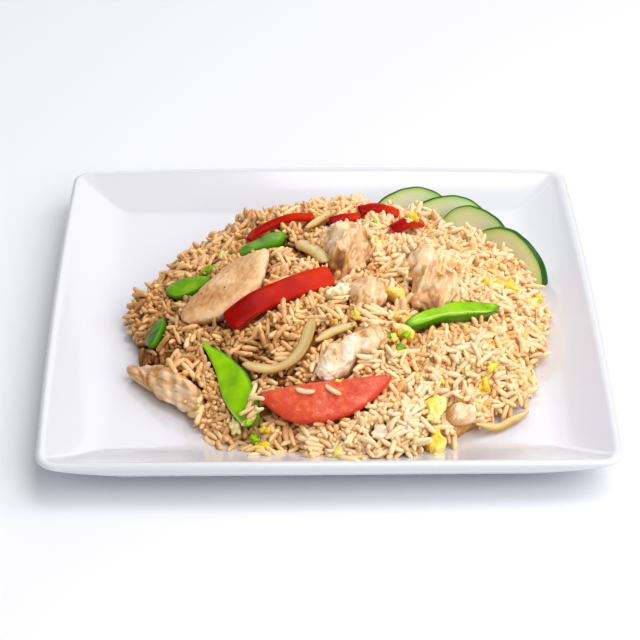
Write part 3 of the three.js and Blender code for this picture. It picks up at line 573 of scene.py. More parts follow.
def tomato_relief(item, u, v, share):
    """The cut face has fine grit and a groove 0.6 mm deep along its middle, and rind is 1 on the skin."""
    grit = 0.12 * rough_noise(np.stack([u, v, share], -1), 1.6, 77)
    dish = -0.6 * np.exp(-((v + 1) ** 2) / 18) * np.exp(-((u / 20) ** 4))
    return grit + dish, {"rind": np.clip((share - 0.9) * 12, 0, 1)}


def egg_relief(item, u, v, share):
    """Crumpled curds: round folds 4 mm wide with creases between, and finer lumps on them."""
    place = np.stack([u, v, share * 2], -1) + item["at"][0]
    folds = 2.4 * rounded(place, 4, 5) + 0.6 * noise(place, 1.5, 7) - 1.0
    return folds, {"white": np.clip(item["white"] + 0.5 * noise(place, 4, 8), 0, 1)}


# Strips: onion and pepper
def strip_axis(item, steps):
    """Middle line, direction aside and direction up of a strip over the heap, turned by its roll."""
    x, y, lift = np.array(item["path"], float).T
    ground = np.column_stack([x, y, heap_top(x, y)])
    line = smooth_curve(ground + heap_normal(x, y) * lift[:, None], steps, False)
    ahead = unit(np.gradient(line, axis=0))
    side = unit(np.cross(heap_normal(line[:, 0], line[:, 1]), ahead))
    turn = np.radians(item.get("roll", 0))
    side = side * np.cos(turn) + np.cross(ahead, side) * np.sin(turn)
    return line, side, np.cross(ahead, side)


def strip(name, item, finish, slot, square, cup):
    """A strip: a rounded rectangle |a|^n + |b|^n = 1 carried along its path, thinner to both ends.

    square is n. cup bends the section up at both sides, or down where it is below 0, and wave is the height
    of the soft unevenness along the strip.
    """
    steps, around, wave, blunt = 72, 36, 0.3, 40
    line, side, up = strip_axis(item, steps)
    t = np.linspace(0, 1, steps)
    taper = np.minimum(1, item["ends"] + 3 * np.minimum(t, 1 - t))
    close = np.sqrt(np.clip(1 - np.abs(2 * t - 1) ** blunt, 0.02, 1))
    angle = np.linspace(0, 2 * np.pi, around, endpoint=False)
    a, b = (np.sign(x) * np.abs(x) ** (2 / square) for x in (np.cos(angle), np.sin(angle)))
    wide = (item["width"] / 2 * taper * close)[:, None] * a
    bent = item.get("cup", cup) * (wide / (item["width"] / 2)) ** 2
    place = np.stack([t[:, None] * 60 + 0 * a, wide, np.full_like(wide, 3.0)], -1)
    thick = (item["thick"] / 2 * (0.6 + 0.4 * taper) * close)[:, None] * b
    high = thick + bent + wave * noise(place, 7, int(item["width"] * 10))
    points = line[:, None] + side[:, None] * wide[..., None] + up[:, None] * high[..., None]
    values = {"across": np.abs(a) + 0 * wide, "upper": b + 0 * wide, "along": t[:, None] + 0 * wide}
    grid_piece(name, points, values, finish, slot, name)


# Cucumber
def slice_frame(item):
    """Middle of the straight edge, face normal, direction along the edge and direction up the face."""
    turn, lean = np.radians([item["turn"], item["lean"]])
    normal = np.array([np.sin(turn) * np.cos(lean), -np.cos(turn) * np.cos(lean), np.sin(lean)])
    along = np.array([np.cos(turn), np.sin(turn), 0.0])
    return np.array(item["centre"], float), normal, along, np.cross(normal, along)


def slice_swell(item, x):
    """A slice's radius over its mean one, by x, the cosine of the direction."""
    return 1 + 0.010 * np.sin(6 * x + item["turn"]) + 0.004 * np.sin(17 * x)


def cucumber(name, item, finish):
    """A half slice: rings of a D outline, from the middle of its back, round its edge, to its face.

    The D is a half circle and its straight edge, read from a point 0.42 of the radius up. The edge is
    rounded by 0.4 mm, and the slice is cut thinner towards its top. Seeds are flat ovals at 0.29 to 0.47 of
    the radius. radial is the share of the radius, seed is 1 on a seed, wet marks the clearer flesh in lobes
    round the seeds, and side marks the dark skin.
    """
    radius, thick, soft, seed_count = item["radius"], item["thick"], 0.4, 14
    arc = np.linspace(0, np.pi, 97)
    base = np.linspace(-1, 1, 41)[1:-1]
    outline = np.vstack([np.column_stack([np.cos(arc), np.sin(arc)]), np.column_stack([base, 0 * base])])
    outline = outline * slice_swell(item, outline[:, 0])[:, None] * radius
    middle = np.array([0, 0.42 * radius])
    bend = np.linspace(0, np.pi / 2, 5)
    edge = 1 - soft * (1 - np.concatenate([np.sin(bend), np.cos(bend[1:])])) / radius
    depth = np.concatenate([-thick + soft * (1 - np.cos(bend)), -soft * (1 - np.sin(bend[1:]))])
    inward = np.linspace(1, 0.03, 40)[1:]
    share = np.concatenate([[0.3, 0.7, 0.95], edge, inward * edge[-1]])
    face = (np.arange(len(share)) >= 3 + len(edge))[:, None]
    u, v = np.moveaxis(middle + (outline - middle)[None] * share[:, None, None], 2, 0)
    height = np.concatenate([[-thick] * 3, depth, 0 * inward])[:, None]
    height = height * (1 - 0.55 * np.clip(v / radius, 0, 1) ** 1.5)
    angle = np.arctan2(v, u)
    reach = np.hypot(u, v) / (radius * slice_swell(item, np.cos(angle)))
    bed = np.exp(-(((reach - 0.36) / 0.17) ** 2)) * (0.6 + 0.4 * np.cos(3 * angle + item["turn"]))
    seeds = np.zeros_like(u)
    for k in range(seed_count):
        at = np.pi * (k + 0.5) / seed_count + 0.05 * np.sin(k * 5.0)
        out = radius * (0.38 + 0.09 * ((k * 5) % 3 - 1))
        long, broad = fibre_axes(u - out * np.cos(at), v - out * np.sin(at), np.degrees(at))
        seeds = np.maximum(seeds, np.clip(1.4 - np.hypot(long / 2.7, broad / 0.8), 0, 1))
    fine = 0.05 * noise(np.stack([u, v, 0 * u], -1), 1.2, 3)
    relief = face * (0.14 * seeds - 0.22 * bed + fine)
    centre, normal, along, rising = slice_frame(item)
    lift = (height + relief)[..., None] * normal
    points = centre + u[..., None] * along + v[..., None] * rising + lift
    points[..., 2] = np.maximum(points[..., 2], plate_top(points[..., 0], points[..., 1]) + 0.3)
    side = np.clip((-height - 0.25) / 0.3, 0, 1)
    values = {"radial": reach, "seed": seeds * face, "wet": np.clip(bed, 0, 1), "side": side * (reach > 0.9)}
    grid_piece(name, points, values, finish, "cucumber", name)


# Space that the pieces take, as balls that the grains are kept out of: x, y, z, radius
def with_radius(rows, radius):
    """Places with the same radius added to each."""
    return np.column_stack([rows, np.full(len(rows), radius)])


def slab_balls(item):
    """Balls of 2 mm in rows over a slab's outline, from its underside to just under its top."""
    rim = smooth_curve(item["outline"], 20, True)
    middle = rim.mean(0)
    balls = []
    for share in (0.0, 0.3, 0.55, 0.8, 0.93):
        u, v = (middle + (rim - middle) * share).T
        for w in np.arange(-2.0, item["top"] * slab_level(item, share) - 1.6, 2.2):
            balls.append(draped(item, u, v, np.full(len(u), w)))
    return with_radius(np.concatenate(balls), 2.0)


def strip_balls(item):
    """Balls as thick as the strip, 5 across it and 30 along it, and the same again 2 mm lower."""
    line, side, _ = strip_axis(item, 30)
    radius = item["thick"] / 2
    reach = max(item["width"] / 2 - radius, 0.1)
    rows = np.concatenate([line + side * a for a in np.linspace(-reach, reach, 5)])
    return with_radius(np.concatenate([rows, rows - np.array([0, 0, 2.0])]), radius)


def slice_balls(item):
    """Balls as wide as the slice is thick, 2.4 mm apart over its half disc and just under its edge."""
    centre, normal, along, rising = slice_frame(item)
    grid = np.arange(-item["radius"], item["radius"] + 0.1, 2.4)
    a, b = np.meshgrid(grid, grid[grid > -2.5])
    keep = np.hypot(a, b) < item["radius"] - 1.2
    middle = centre - normal * item["thick"] / 2
    return with_radius(middle + a[keep][:, None] * along + b[keep][:, None] * rising, item["thick"] / 2)


def behind_slices(x, y):
    """True behind the face of a standing half slice, as far to its sides as it reaches."""
    hidden = np.zeros(len(x), bool)
    for item in SLICES.values():
        centre, normal, along, _ = slice_frame(item)
        arm = np.column_stack([x, y]) - centre[:2]
        hidden |= (arm @ normal[:2] < 1.0) & (np.abs(arm @ along[:2]) < item["radius"] - 1)
    return hidden


# Rice
def near_pairs(a, b, cell):
    """Index pairs of points of a and b that lie in the same or a neighbouring cell of a cubic grid."""
    low = np.minimum(a.min(0), b.min(0)) - cell
    size = ((np.maximum(a.max(0), b.max(0)) - low) / cell).astype(np.int64) + 3
    ca = ((a - low) / cell).astype(np.int64)
    cb = ((b - low) / cell).astype(np.int64)
    key = (cb[:, 0] * size[1] + cb[:, 1]) * size[2] + cb[:, 2]
    order = np.argsort(key, kind="stable")
    key = key[order]
    left, right = [], []
    for dx in (-1, 0, 1):
        for dy in (-1, 0, 1):
            row = ((ca[:, 0] + dx) * size[1] + ca[:, 1] + dy) * size[2] + ca[:, 2]
            start = np.searchsorted(key, row - 1, "left")
            many = np.searchsorted(key, row + 1, "right") - start
            first = np.repeat(np.arange(len(a)), many)
            step = np.arange(many.sum()) - np.repeat(np.cumsum(many) - many, many)
            left.append(first)
            right.append(order[np.repeat(start, many) + step])
    return np.concatenate(left), np.concatenate(right)


def front_left(x, y):
    """1 where rice has slid out over the plate, at 238 degrees, and 0 beyond 20 degrees from there."""
    angle = np.degrees(np.arctan2(y - HEAP_Y, x - HEAP_X)) % 360
    return np.clip(1.6 - np.abs(angle - 238) / 12.5, 0, 1)


def over_heap(places):
    """Normal of the smooth heap at each place, and the place's height over its surface along that normal."""
    normal = heap_normal(places[:, 0], places[:, 1])
    return normal, (places[:, 2] - heap_top(places[:, 0], places[:, 1])) * normal[:, 2]


def scatter_grains(rng, covered, bank):
    """Random places over the heap, evenly by its surface, at the heights of the layers.

    Clumps raise and sink all layers together, bank() heaps rice against some pieces and keeps it low beside
    others, and no grain is laid deeper than LOWEST. About half of the grains lie within 25 degrees of a
    direction that swirls slowly over the heap, the others in any direction.
    """
    depth, share = np.array(LAYERS).T
    x = rng.uniform(-125, 125, GRAIN_COUNT * 6)
    y = rng.uniform(-125, 125, GRAIN_COUNT * 6)
    slope, steepest = heap_normal(x, y)[:, 2], 0.42
    inside = heap_share(x, y) < 1.0 + 0.05 * front_left(x, y)
    keep = inside & (rng.random(len(x)) < steepest / np.maximum(slope, steepest))
    x, y = x[keep], y[keep]
    keep = ~(covered(x, y) | behind_slices(x, y))
    x, y = x[keep][:GRAIN_COUNT], y[keep][:GRAIN_COUNT]
    n = len(x)
    flat = np.column_stack([x, y, np.zeros(n)])
    normal = heap_normal(x, y)
    layer = rng.choice(len(LAYERS), n, p=share / share.sum())
    clump = sum(high * noise(flat, size, 41) for size, high in CLUMPS)
    target = depth[layer] + rng.normal(0, 0.7, n) + clump
    high, low = bank(x, y)
    highest, sunk = 0.8, 2.6
    target = np.where(low > 0, np.minimum(target, highest - sunk * low), target) + high * rng.uniform(0, 1, n)
    target = np.maximum(target, LOWEST)
    centre = np.column_stack([x, y, heap_top(x, y)]) + normal * target[:, None]
    swirl = 2.2 * np.pi * noise(flat, 13, 43) + rng.normal(0, 0.45, n)
    swirl = np.where(rng.random(n) < 0.45, rng.uniform(0, 2 * np.pi, n), swirl)
    right = unit(np.cross(np.array([0.0, 1.0, 0.0]), normal))
    level = right * np.cos(swirl)[:, None] + np.cross(normal, right) * np.sin(swirl)[:, None]
    lean = np.radians(rng.normal(0, 25, n))
    spiky = rng.random(n) < 0.2
    lean = np.where(spiky, np.radians(rng.uniform(35, 75, n)), lean)
    ahead = level * np.cos(lean)[:, None] + normal * np.sin(lean)[:, None]
    length = GRAIN_LENGTH * np.clip(rng.normal(1, 0.13, n), 0.6, 1.25)
    width = GRAIN_WIDTH * np.clip(rng.normal(1, 0.13, n), 0.7, 1.3)
    return centre, ahead, length, width, target


def parting(a, b, reach, share, most=None):
    """Moves of points away from others nearer than reach, by a share of what is missing, taken up to most."""
    gap = a - b
    far = np.linalg.norm(gap, axis=1) + 1e-6
    return gap / far[:, None] * (np.clip(reach - far, 0, most) * share)[:, None]


def relax_grains(centre, ahead, length, width, target, fixed):
    """Push overlapping grains apart, as rows of four balls each, off the plate, the core and the pieces.

    Each step moves a grain by the mean push on its balls, turns it by their levers, and draws it back a
    little to the height at which it was laid. Neighbours are looked up again every fourth step.
    """
    grain_cell, piece_cell, overlap_share, piece_share = 3.4, 4.4, 0.5, 0.7
    move_gain, turn_gain, draw_back = 1.2, 0.8, 0.06
    reach = (length - width)[:, None] * np.array([-0.5, -1 / 6, 1 / 6, 0.5])
    ball = np.repeat(width * 0.5, 4) * 0.72
    owner = np.repeat(np.arange(len(centre)), 4)
    for step in range(RELAX_STEPS):
        spots = (centre[:, None] + ahead[:, None] * reach[..., None]).reshape(-1, 3)
        if step % 4 == 0:
            i, j = near_pairs(spots, spots, grain_cell)
            keep = owner[i] < owner[j]
            i, j = i[keep], j[keep]
            k, m = near_pairs(spots, fixed[:, :3], piece_cell)
        apart = parting(spots[i], spots[j], ball[i] + ball[j], overlap_share)
        off = parting(spots[k], fixed[m, :3], ball[k] + fixed[m, 3], piece_share, 1.5)
        push = np.zeros_like(spots)
        for rows, move in ((i, apart), (j, -apart), (k, off)):
            for axis in range(3):
                push[:, axis] += np.bincount(rows, move[:, axis], len(spots))
        x, y, z = spots.T
        ground = np.maximum(plate_top(x, y) + ball, heap_top(x, y) - CORE_DEPTH)
        push[:, 2] += np.clip(ground - z, 0, 2)
        push = push.reshape(-1, 4, 3)
        lever = (push * reach[..., None]).sum(1) / (reach**2).sum(1)[:, None]
        centre = centre + push.mean(1) * move_gain
        ahead = unit(ahead + lever * turn_gain)
        normal, height = over_heap(centre)
        centre = centre + normal * (draw_back * (target - height))[:, None]
    return centre, ahead


def grain_meshes(centre, ahead, length, width, tone, rng, name, finish):
    """All grains of a kind as one mesh. A grain is rings of six points along its length.

    The radius is (1 - |2s - 1|^p)^0.5 of half the width, p from 2.8 to 7, so that some taper and others have
    parallel sides. It is a little flatter one way, and the middle line bends to one side. Its tone is lower
    on its underside: painted shade.
    """
    n, sides = len(centre), 6
    s = np.array([0.015, 0.09, 0.26, 0.52, 0.76, 0.92, 0.985])
    angle = np.linspace(0, 2 * np.pi, sides, endpoint=False)
    blunt = rng.uniform(2.8, 7.0, n)[:, None]
    radius = (1 - np.abs(2 * s - 1) ** blunt) ** 0.5 * (width / 2)[:, None]
    radius = radius * (1 + rng.normal(0, 0.05, (n, len(s))))
    other = unit(np.cross(ahead, unit(rng.normal(size=(n, 3)))))
    third = np.cross(ahead, other)
    bend = rng.normal(0, 0.8, n)[:, None] * (1 - (2 * s - 1) ** 2)
    axis = centre[:, None] + ahead[:, None] * ((s - 0.5) * length[:, None])[..., None]
    axis = axis + other[:, None] * bend[..., None]
    flat = rng.uniform(0.78, 1.0, n)[:, None, None]
    around = (
        other[:, None, None] * (np.cos(angle) * radius[..., None])[..., None]
        + third[:, None, None] * (np.sin(angle) * radius[..., None] * flat)[..., None]
    )
    body = (axis[:, :, None] + around).reshape(n, -1, 3)
    tips = centre[:, None] + ahead[:, None] * (np.array([-0.5, 0.5]) * length[:, None])[..., None]
    # Painted shade: each point's tone is lowered where the grain's side faces down.
    under = unit(around)[..., 2].reshape(n, -1)
    values = {"tone": (tone[:, None] + 0.13 * np.column_stack([under, np.zeros((n, 2))])).ravel()}
    many(name, np.concatenate([body, tips], 1), sides, values, finish, "rice")


def rice_core(finish):
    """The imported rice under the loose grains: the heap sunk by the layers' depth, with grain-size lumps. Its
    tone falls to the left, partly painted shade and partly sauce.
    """
    around, rows, inset, sunk, skip = 220, 76, 5.0, 2.4, 5
    angle = np.linspace(0, 2 * np.pi, around, endpoint=False)
    out = np.linspace(0.985, 0.01, rows)[:, None] * (heap_reach(angle) - inset)
    x, y = HEAP_X + out * np.cos(angle), HEAP_Y + out * np.sin(angle)
    ground = plate_top(x, y) + 0.3
    flat = np.stack([x, y, 0 * x], -1)
    lumps = 2.2 * np.abs(noise(flat, 3.2, 12)) + 0.7 * noise(flat, 6, 4) + 0.4 * noise(flat, 1.6, 5)
    top = np.maximum(heap_top(x, y) - CORE_DEPTH - sunk + lumps, ground + 0.4)
    lower = np.stack([x, y, ground], -1)[::-1][::skip]
    points = np.concatenate([lower, np.stack([x, y, top], -1)])
    # Painted shade and sauce: the tone falls to the left.
    values = {"tone": 0.003 * np.clip(points[..., 0], -85, 50)}
    grid_piece("rice_core", points, values, finish, "rice", "rice")


# Crumbs and specks
def curd_meshes(places, sizes, seeds, name, finish, slot, flat=0.5, rings=9, sides=14):
    """Curds as one mesh: balls with a noisy radius, flattened by flat, each turned its own way."""
    lat = np.linspace(0.35, np.pi - 0.35, rings)[:, None]
    lon = np.linspace(0, 2 * np.pi, sides, endpoint=False)
    ball = np.stack([np.sin(lat) * np.cos(lon), np.sin(lat) * np.sin(lon), np.cos(lat) + 0 * lon], -1)
    ball = np.concatenate([ball.reshape(-1, 3), [[0, 0, 1], [0, 0, -1]]])
    place = ball[None] + seeds[:, None, None] * 7.7
    swell = 0.5 + 1.3 * rounded(place, 0.8, 2) + 0.35 * noise(place, 0.35, 6)
    shape = ball[None] * np.array([1.0, 0.6, flat])
    x, y, z = (shape * swell[..., None] * (sizes / 2)[:, None, None]).transpose(2, 0, 1)
    turn = seeds * 2.399
    c, s = np.cos(turn)[:, None], np.sin(turn)[:, None]
    up = heap_normal(places[:, 0], places[:, 1])
    ahead = unit(np.cross(np.array([0.0, 1.0, 0.0]), up))
    moves = ((x * c - y * s, ahead), (x * s + y * c, np.cross(up, ahead)), (z, up))
    points = places[:, None] + sum(much[..., None] * way[:, None] for much, way in moves)
    each = np.repeat(np.clip(0.55 * np.sin(seeds * 1.7) + 0.1, 0, 1), len(ball))
    many(name, points, sides, {"white": each, "deep": each, "painted_highlight": 0 * each}, finish, slot, flip=True)


# The plate
def square_ring(half, corner, height, bow, rise):
    """Square with round corners, its sides bowed out and up by (1 - t^2), t being the place along a side."""
    corner_steps, side_steps = 9, 22
    turn = np.linspace(0, np.pi / 2, corner_steps)
    arc = half - corner + corner * np.column_stack([np.cos(turn), np.sin(turn)])
    t = 1 - 2 * np.arange(1, side_steps) / side_steps
    flat = np.vstack([arc, np.column_stack([(half - corner) * t, np.full(len(t), half)])])
    swell = 1 - (np.abs(flat).min(1) / half) ** 2
    x, y = (flat * (1 + bow * swell / half)[:, None]).T
    quarters = ((1, 0), (0, 1), (-1, 0), (0, -1))
    return np.concatenate([
        np.column_stack([c * x - s * y, s * x + c * y, height + rise * swell]) for c, s in quarters
    ])


def plate(finish):
    """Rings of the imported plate's section, with smooth ones read between them, from the foot to the floor."""
    section = [
        (75, 14, FOOT, 0, 0), (79, 16, 0, 0, 0), (86, 20, 0, 0, 0), (90, 24, 4, 0, 0), (112, 30, 7.5, 0, 0),
        (HALF - 6, 38, RIM - 9.5, BOW / 2, RISE / 2), (HALF - 2.4, 32, RIM - 7, BOW, RISE),
        (HALF - 0.8, 16, RIM - 4, BOW, RISE), (HALF, 10, RIM - 1.8, BOW, RISE),
        (HALF - 0.6, 9.5, RIM - 0.5, BOW, RISE), (HALF - 2.2, 8.5, RIM, BOW, RISE),
    ]
    for size, height, corner in INNER_WALL:
        part = (height - FLOOR) / (RIM - FLOOR)
        section.append((size, corner, height, BOW * (1.5 * part - 0.5), RISE * part))
    section += [(80, 12, FLOOR, 0, 0), (40, 12, FLOOR, 0, 0)]
    fine = smooth_curve(section, 110, False)
    fine[:, 2] = np.maximum(fine[:, 2], 0)
    points = np.stack([square_ring(*row) for row in [(40, 12, FOOT, 0, 0), *fine]])
    grid_piece("plate_glazed", points, {}, finish, "plate_glaze", "plate")


# Nodes that the finishes share
def noise_at(tree, scale, detail, **more):
    """Noise over the object's own coordinates, which are in metres."""
    place = add(tree, "ShaderNodeTexCoord").outputs["Object"]
    inputs = {"Vector": place, "Scale": scale, "Detail": detail, **more}
    return add(tree, "ShaderNodeTexNoise", inputs).outputs["Fac"]


def value_of(tree, name):
    """The value of that name which piece() has given each point."""
    return add(tree, "ShaderNodeAttribute", attribute_name=name).outputs["Fac"]


def maths(tree, operation, *terms):
    """Result of a Math node."""
    return add(tree, "ShaderNodeMath", dict(enumerate(terms)), operation=operation).outputs[0]


def mottled(tree, value, cloud, much):
    """A value changed by noise: (cloud - 0.5) times much is added to it."""
    return maths(tree, "MULTIPLY_ADD", maths(tree, "ADD", cloud, -0.5), much, value)


def ramp(tree, at, *stops):
    """Colour read from stops, each a place and a colour."""
    return add(tree, "ShaderNodeValToRGB", {"Fac": at}, stops=stops).outputs[0]


def blend(tree, share, first, second):
    """The first colour where share is 0, the second where it is 1."""
    return add(tree, "ShaderNodeMix", {0: share, 6: first, 7: second}, data_type="RGBA").outputs[2]


def bumpy(tree, shader, height, strength, distance):
    """Bump by a height, its distance in metres."""
    bump = add(tree, "ShaderNodeBump", {"Height": height, "Strength": strength, "Distance": distance})
    tree.links.new(bump.outputs[0], shader.inputs["Normal"])


def coloured(tree, shader, colour):
    """Use a colour as the shader's base colour."""
    tree.links.new(colour, shader.inputs["Base Color"])


# Finishes
def glazed_porcelain():
    """White porcelain under clear glaze: smooth, with soft broad reflections and very faint unevenness."""
    made, tree, shader = finish_of(
        "glazed_porcelain", Base_Color="#dedee3", Roughness=0.16, IOR=1.52, Coat_Weight=0.35,
        Coat_Roughness=0.06,
    )
    bumpy(tree, shader, noise_at(tree, 28.0, 1.0), 0.03, 0.002)
    return made


def fried_rice_grain():
    """Cooked long grain, steamed then fried: moist, slightly clear, stained tan by soy and oil in patches, with
    painted shade and light in its tone.
    """
    made, tree, shader = finish_of(
        "fried_rice_grain", Roughness=0.38, IOR=1.42, Specular_IOR_Level=0.35, Subsurface_Weight=0.5,
        Subsurface_Radius=(1.0, 0.75, 0.45), Subsurface_Scale=0.0013,
    )
    coloured(tree, shader, ramp(
        tree, mottled(tree, value_of(tree, "tone"), noise_at(tree, 300.0, 3.0), 0.25),
        (0.0, "#86501a"), (0.2, "#c48f54"), (0.45, "#f0be80"), (0.7, "#ffd69e"), (1.0, "#ffe9c8"),
    ))
    bumpy(tree, shader, noise_at(tree, 900.0, 2.0), 0.25, 0.0003)
    return made


def packed_rice_in_painted_shade():
    """The rice deep in the heap, seen only through gaps: darker than the grains as painted shade in the gaps,
    and darker still to the heap's left, partly painted shade and partly sauce.
    """
    made, tree, shader = finish_of("packed_rice_in_painted_shade", Roughness=0.6, Specular_IOR_Level=0.2)
    # Painted shade: the core's colours are darker than the grains'.
    coloured(tree, shader, ramp(
        tree, maths(tree, "ADD", noise_at(tree, 320.0, 3.0), value_of(tree, "tone")),
        (0.2, "#9a6630"), (0.5, "#d0924a"), (0.7, "#e8ae62"), (0.9, "#f6cc8c"),
    ))
    return made


def cooked_chicken():
    """Chicken breast fried in a wok: cream meat with fine fibres, tan where it touched the pan, painted shade
    in its creases, moist.
    """
    made, tree, shader = finish_of(
        "cooked_chicken", Roughness=0.42, IOR=1.42, Subsurface_Weight=0.15,
        Subsurface_Radius=(1.0, 0.6, 0.35), Subsurface_Scale=0.002,
    )
    mottle = noise_at(tree, 420.0, 4.0)
    coloured(tree, shader, ramp(
        tree, mottled(tree, value_of(tree, "brown"), mottle, 0.35),
        (0.0, "#fff2e2"), (0.09, "#f9e2c0"), (0.34, "#f0ca9a"), (0.56, "#daa870"), (0.78, "#b87a3a"),
        (1.0, "#84481a"),
    ))
    bumpy(tree, shader, mottle, 0.35, 0.0006)
    return made


def sweet_pepper():
    """Red pepper, cut in strips: waxy skin above, redder to one end, and paler wet flesh at the cut sides."""
    made, tree, shader = finish_of("sweet_pepper", Roughness=0.24, IOR=1.22, Specular_IOR_Level=0.3)
    cloud = noise_at(tree, 90.0, 2.0)
    ripe = maths(tree, "MULTIPLY", maths(tree, "ADD", cloud, value_of(tree, "along")), 0.5)
    skin = ramp(tree, ripe, (0.25, "#8a0400"), (0.5, "#b21000"), (0.75, "#d43208"))
    outside = {"Value": value_of(tree, "upper"), "From Min": 0.1, "From Max": 0.75}
    share = add(tree, "ShaderNodeMapRange", outside).outputs[0]
    coloured(tree, shader, blend(tree, share, "#d9391b", skin))
    bumpy(tree, shader, cloud, 0.1, 0.001)
    return made


def tomato_flesh():
    """Ripe tomato, cut with a knife: wet pink-red flesh with a fine grain, and a smooth orange-red skin."""
    made, tree, shader = finish_of(
        "tomato_flesh", Roughness=0.3, IOR=1.4, Subsurface_Weight=0.15,
        Subsurface_Radius=(1.0, 0.25, 0.15), Subsurface_Scale=0.002,
    )
    cells = noise_at(tree, 260.0, 6.0, Roughness=0.75)
    flesh = ramp(tree, cells, (0.25, "#cc3a22"), (0.48, "#dd5030"), (0.6, "#e86a40"), (0.68, "#f8b894"))
    coloured(tree, shader, blend(tree, value_of(tree, "rind"), flesh, "#d8380f"))
    bumpy(tree, shader, cells, 0.3, 0.0005)
    return made


def snow_pea_skin():
    """Snow pea pod, blanched and tossed in oil: waxy skin from bright to deep green, darker at its seams, with
    painted shade below the keel and a painted highlight line.
    """
    made, tree, shader = finish_of("snow_pea_skin", Roughness=0.25, IOR=1.25, Specular_IOR_Level=0.6)
    cloud = noise_at(tree, 120.0, 3.0)
    bright_green = ramp(tree, cloud, (0.3, "#7cb800"), (0.5, "#92cc00"), (0.75, "#a8da0a"))
    dark_green = ramp(tree, cloud, (0.3, "#2a5e0c"), (0.55, "#4a8018"), (0.75, "#86a64a"))
    # deep also holds painted shade below the keel.
    skin = blend(tree, value_of(tree, "deep"), bright_green, dark_green)
    edged = blend(tree, value_of(tree, "seam"), skin, "#4f8a0a")
    # Painted highlight: a pale line blended over the skin.
    coloured(tree, shader, blend(tree, value_of(tree, "painted_highlight"), edged, "#c4e070"))
    bumpy(tree, shader, cloud, 0.15, 0.0006)
    return made


def soft_onion():
    """White onion cooked until soft: clear, straw coloured, glossy, with fine veins along it."""
    made, tree, shader = finish_of(
        "soft_onion", Roughness=0.24, IOR=1.4, Subsurface_Weight=0.4, Transmission_Weight=0.15,
        Subsurface_Radius=(1.0, 0.8, 0.4), Subsurface_Scale=0.004,
    )
    across = value_of(tree, "across")
    coloured(tree, shader, ramp(tree, across, (0.0, "#f2dca2"), (0.6, "#e6c47c"), (1.0, "#cf9c4a")))
    bumpy(tree, shader, maths(tree, "SINE", maths(tree, "MULTIPLY", across, 22.0)), 0.15, 0.0004)
    return made


def scrambled_egg():
    """Egg scrambled in the wok: matt yellow curds, cream where the white set by itself."""
    made, tree, shader = finish_of(
        "scrambled_egg", Roughness=0.45, IOR=1.4, Subsurface_Weight=0.35,
        Subsurface_Radius=(1.0, 0.7, 0.2), Subsurface_Scale=0.002,
    )
    cloud = noise_at(tree, 350.0, 3.0)
    yolk = ramp(tree, cloud, (0.3, "#f8c020"), (0.5, "#ffd838"), (0.75, "#ffec78"))
    coloured(tree, shader, blend(tree, value_of(tree, "white"), yolk, "#fbf0cf"))
    bumpy(tree, shader, cloud, 0.4, 0.0005)
    return made


def cucumber_flesh():
    """Fresh cucumber slice: pale wet flesh, clearer at the seeds, greener to the dark waxy skin."""
    made, tree, shader = finish_of(
        "cucumber_flesh", Roughness=0.3, IOR=1.38, Subsurface_Weight=0.35,
        Subsurface_Radius=(1.0, 1.0, 0.8), Subsurface_Scale=0.006,
    )
    flesh = ramp(
        tree, value_of(tree, "radial"),
        (0.0, "#f4f8da"), (0.6, "#f0fad6"), (0.84, "#e8f8c8"), (0.93, "#d0ea9c"), (0.972, "#a0d060"),
        (0.983, "#5a9636"), (0.993, "#2a5a16"),
    )
    clear = blend(tree, maths(tree, "MULTIPLY", value_of(tree, "wet"), 0.15), flesh, "#dde29a")
    inner = blend(tree, maths(tree, "MULTIPLY", value_of(tree, "seed"), 0.4), clear, "#f2eecb")
    skin = ramp(tree, noise_at(tree, 140.0, 3.0), (0.35, "#0a360c"), (0.65, "#144814"), (0.85, "#3a7a2e"))
    coloured(tree, shader, blend(tree, value_of(tree, "side"), inner, skin))
    bumpy(tree, shader, noise_at(tree, 600.0, 2.0), 0.12, 0.0004)
    return made


def ground_pepper():
    """Ground black pepper: matt dark brown grit."""
    made, tree, shader = finish_of("ground_pepper", Roughness=0.8, IOR=1.4)
    coloured(tree, shader, ramp(tree, noise_at(tree, 90.0, 2.0), (0.35, "#2c1a0c"), (0.65, "#6b4322")))
    return made


# Putting it together
rng = np.random.default_rng(20)
plate(glazed_porcelain())
meat, pod, flesh, curd = cooked_chicken(), snow_pea_skin(), tomato_flesh(), scrambled_egg()
onion, pepper, cuke = soft_onion(), sweet_pepper(), cucumber_flesh()
for key, item in CHICKEN.items():
    slab(key, item, meat, "chicken", meat_relief, around=150, over=60, lumps=meat_lumps)
for key, item in PEAS.items():
    slab(key, item, pod, "snow_pea", pod_relief)
for key, item in TOMATO.items():
    slab(key, item, flesh, "tomato", tomato_relief, around=160, over=60)
for key, item in EGG.items():
    kind = "egg_white" if item["white"] > 0.5 else "egg_yolk"
    slab(key, dict(item, ragged=1.8), curd, kind, egg_relief, around=72)
for key, item in ONION.items():
    strip(key, item, onion, "onion", square=2.6, cup=-0.6)
for key, item in PEPPER.items():
    strip(key, item, pepper, "red_pepper", square=5.0, cup=-0.5)
for key, item in SLICES.items():
    cucumber(key, item, cuke)

# The space of the pieces: rough ones, which rice is heaped against, and smooth ones, beside which it lies low
SMOOTH_SLABS = [*PEAS.values(), *TOMATO.values(), CHICKEN["chicken_slice_left"]]
ROUGH_SLABS = [item for key, item in CHICKEN.items() if key != "chicken_slice_left"] + [*EGG.values()]
STRIPS = [*ONION.values(), *PEPPER.values()]
rough_balls = np.concatenate([slab_balls(item) for item in ROUGH_SLABS])
smooth_balls = np.concatenate(
    [slab_balls(item) for item in SMOOTH_SLABS] + [strip_balls(item) for item in STRIPS]
    + [slice_balls(item) for item in SLICES.values()]
)
balls = np.concatenate([rough_balls, smooth_balls])


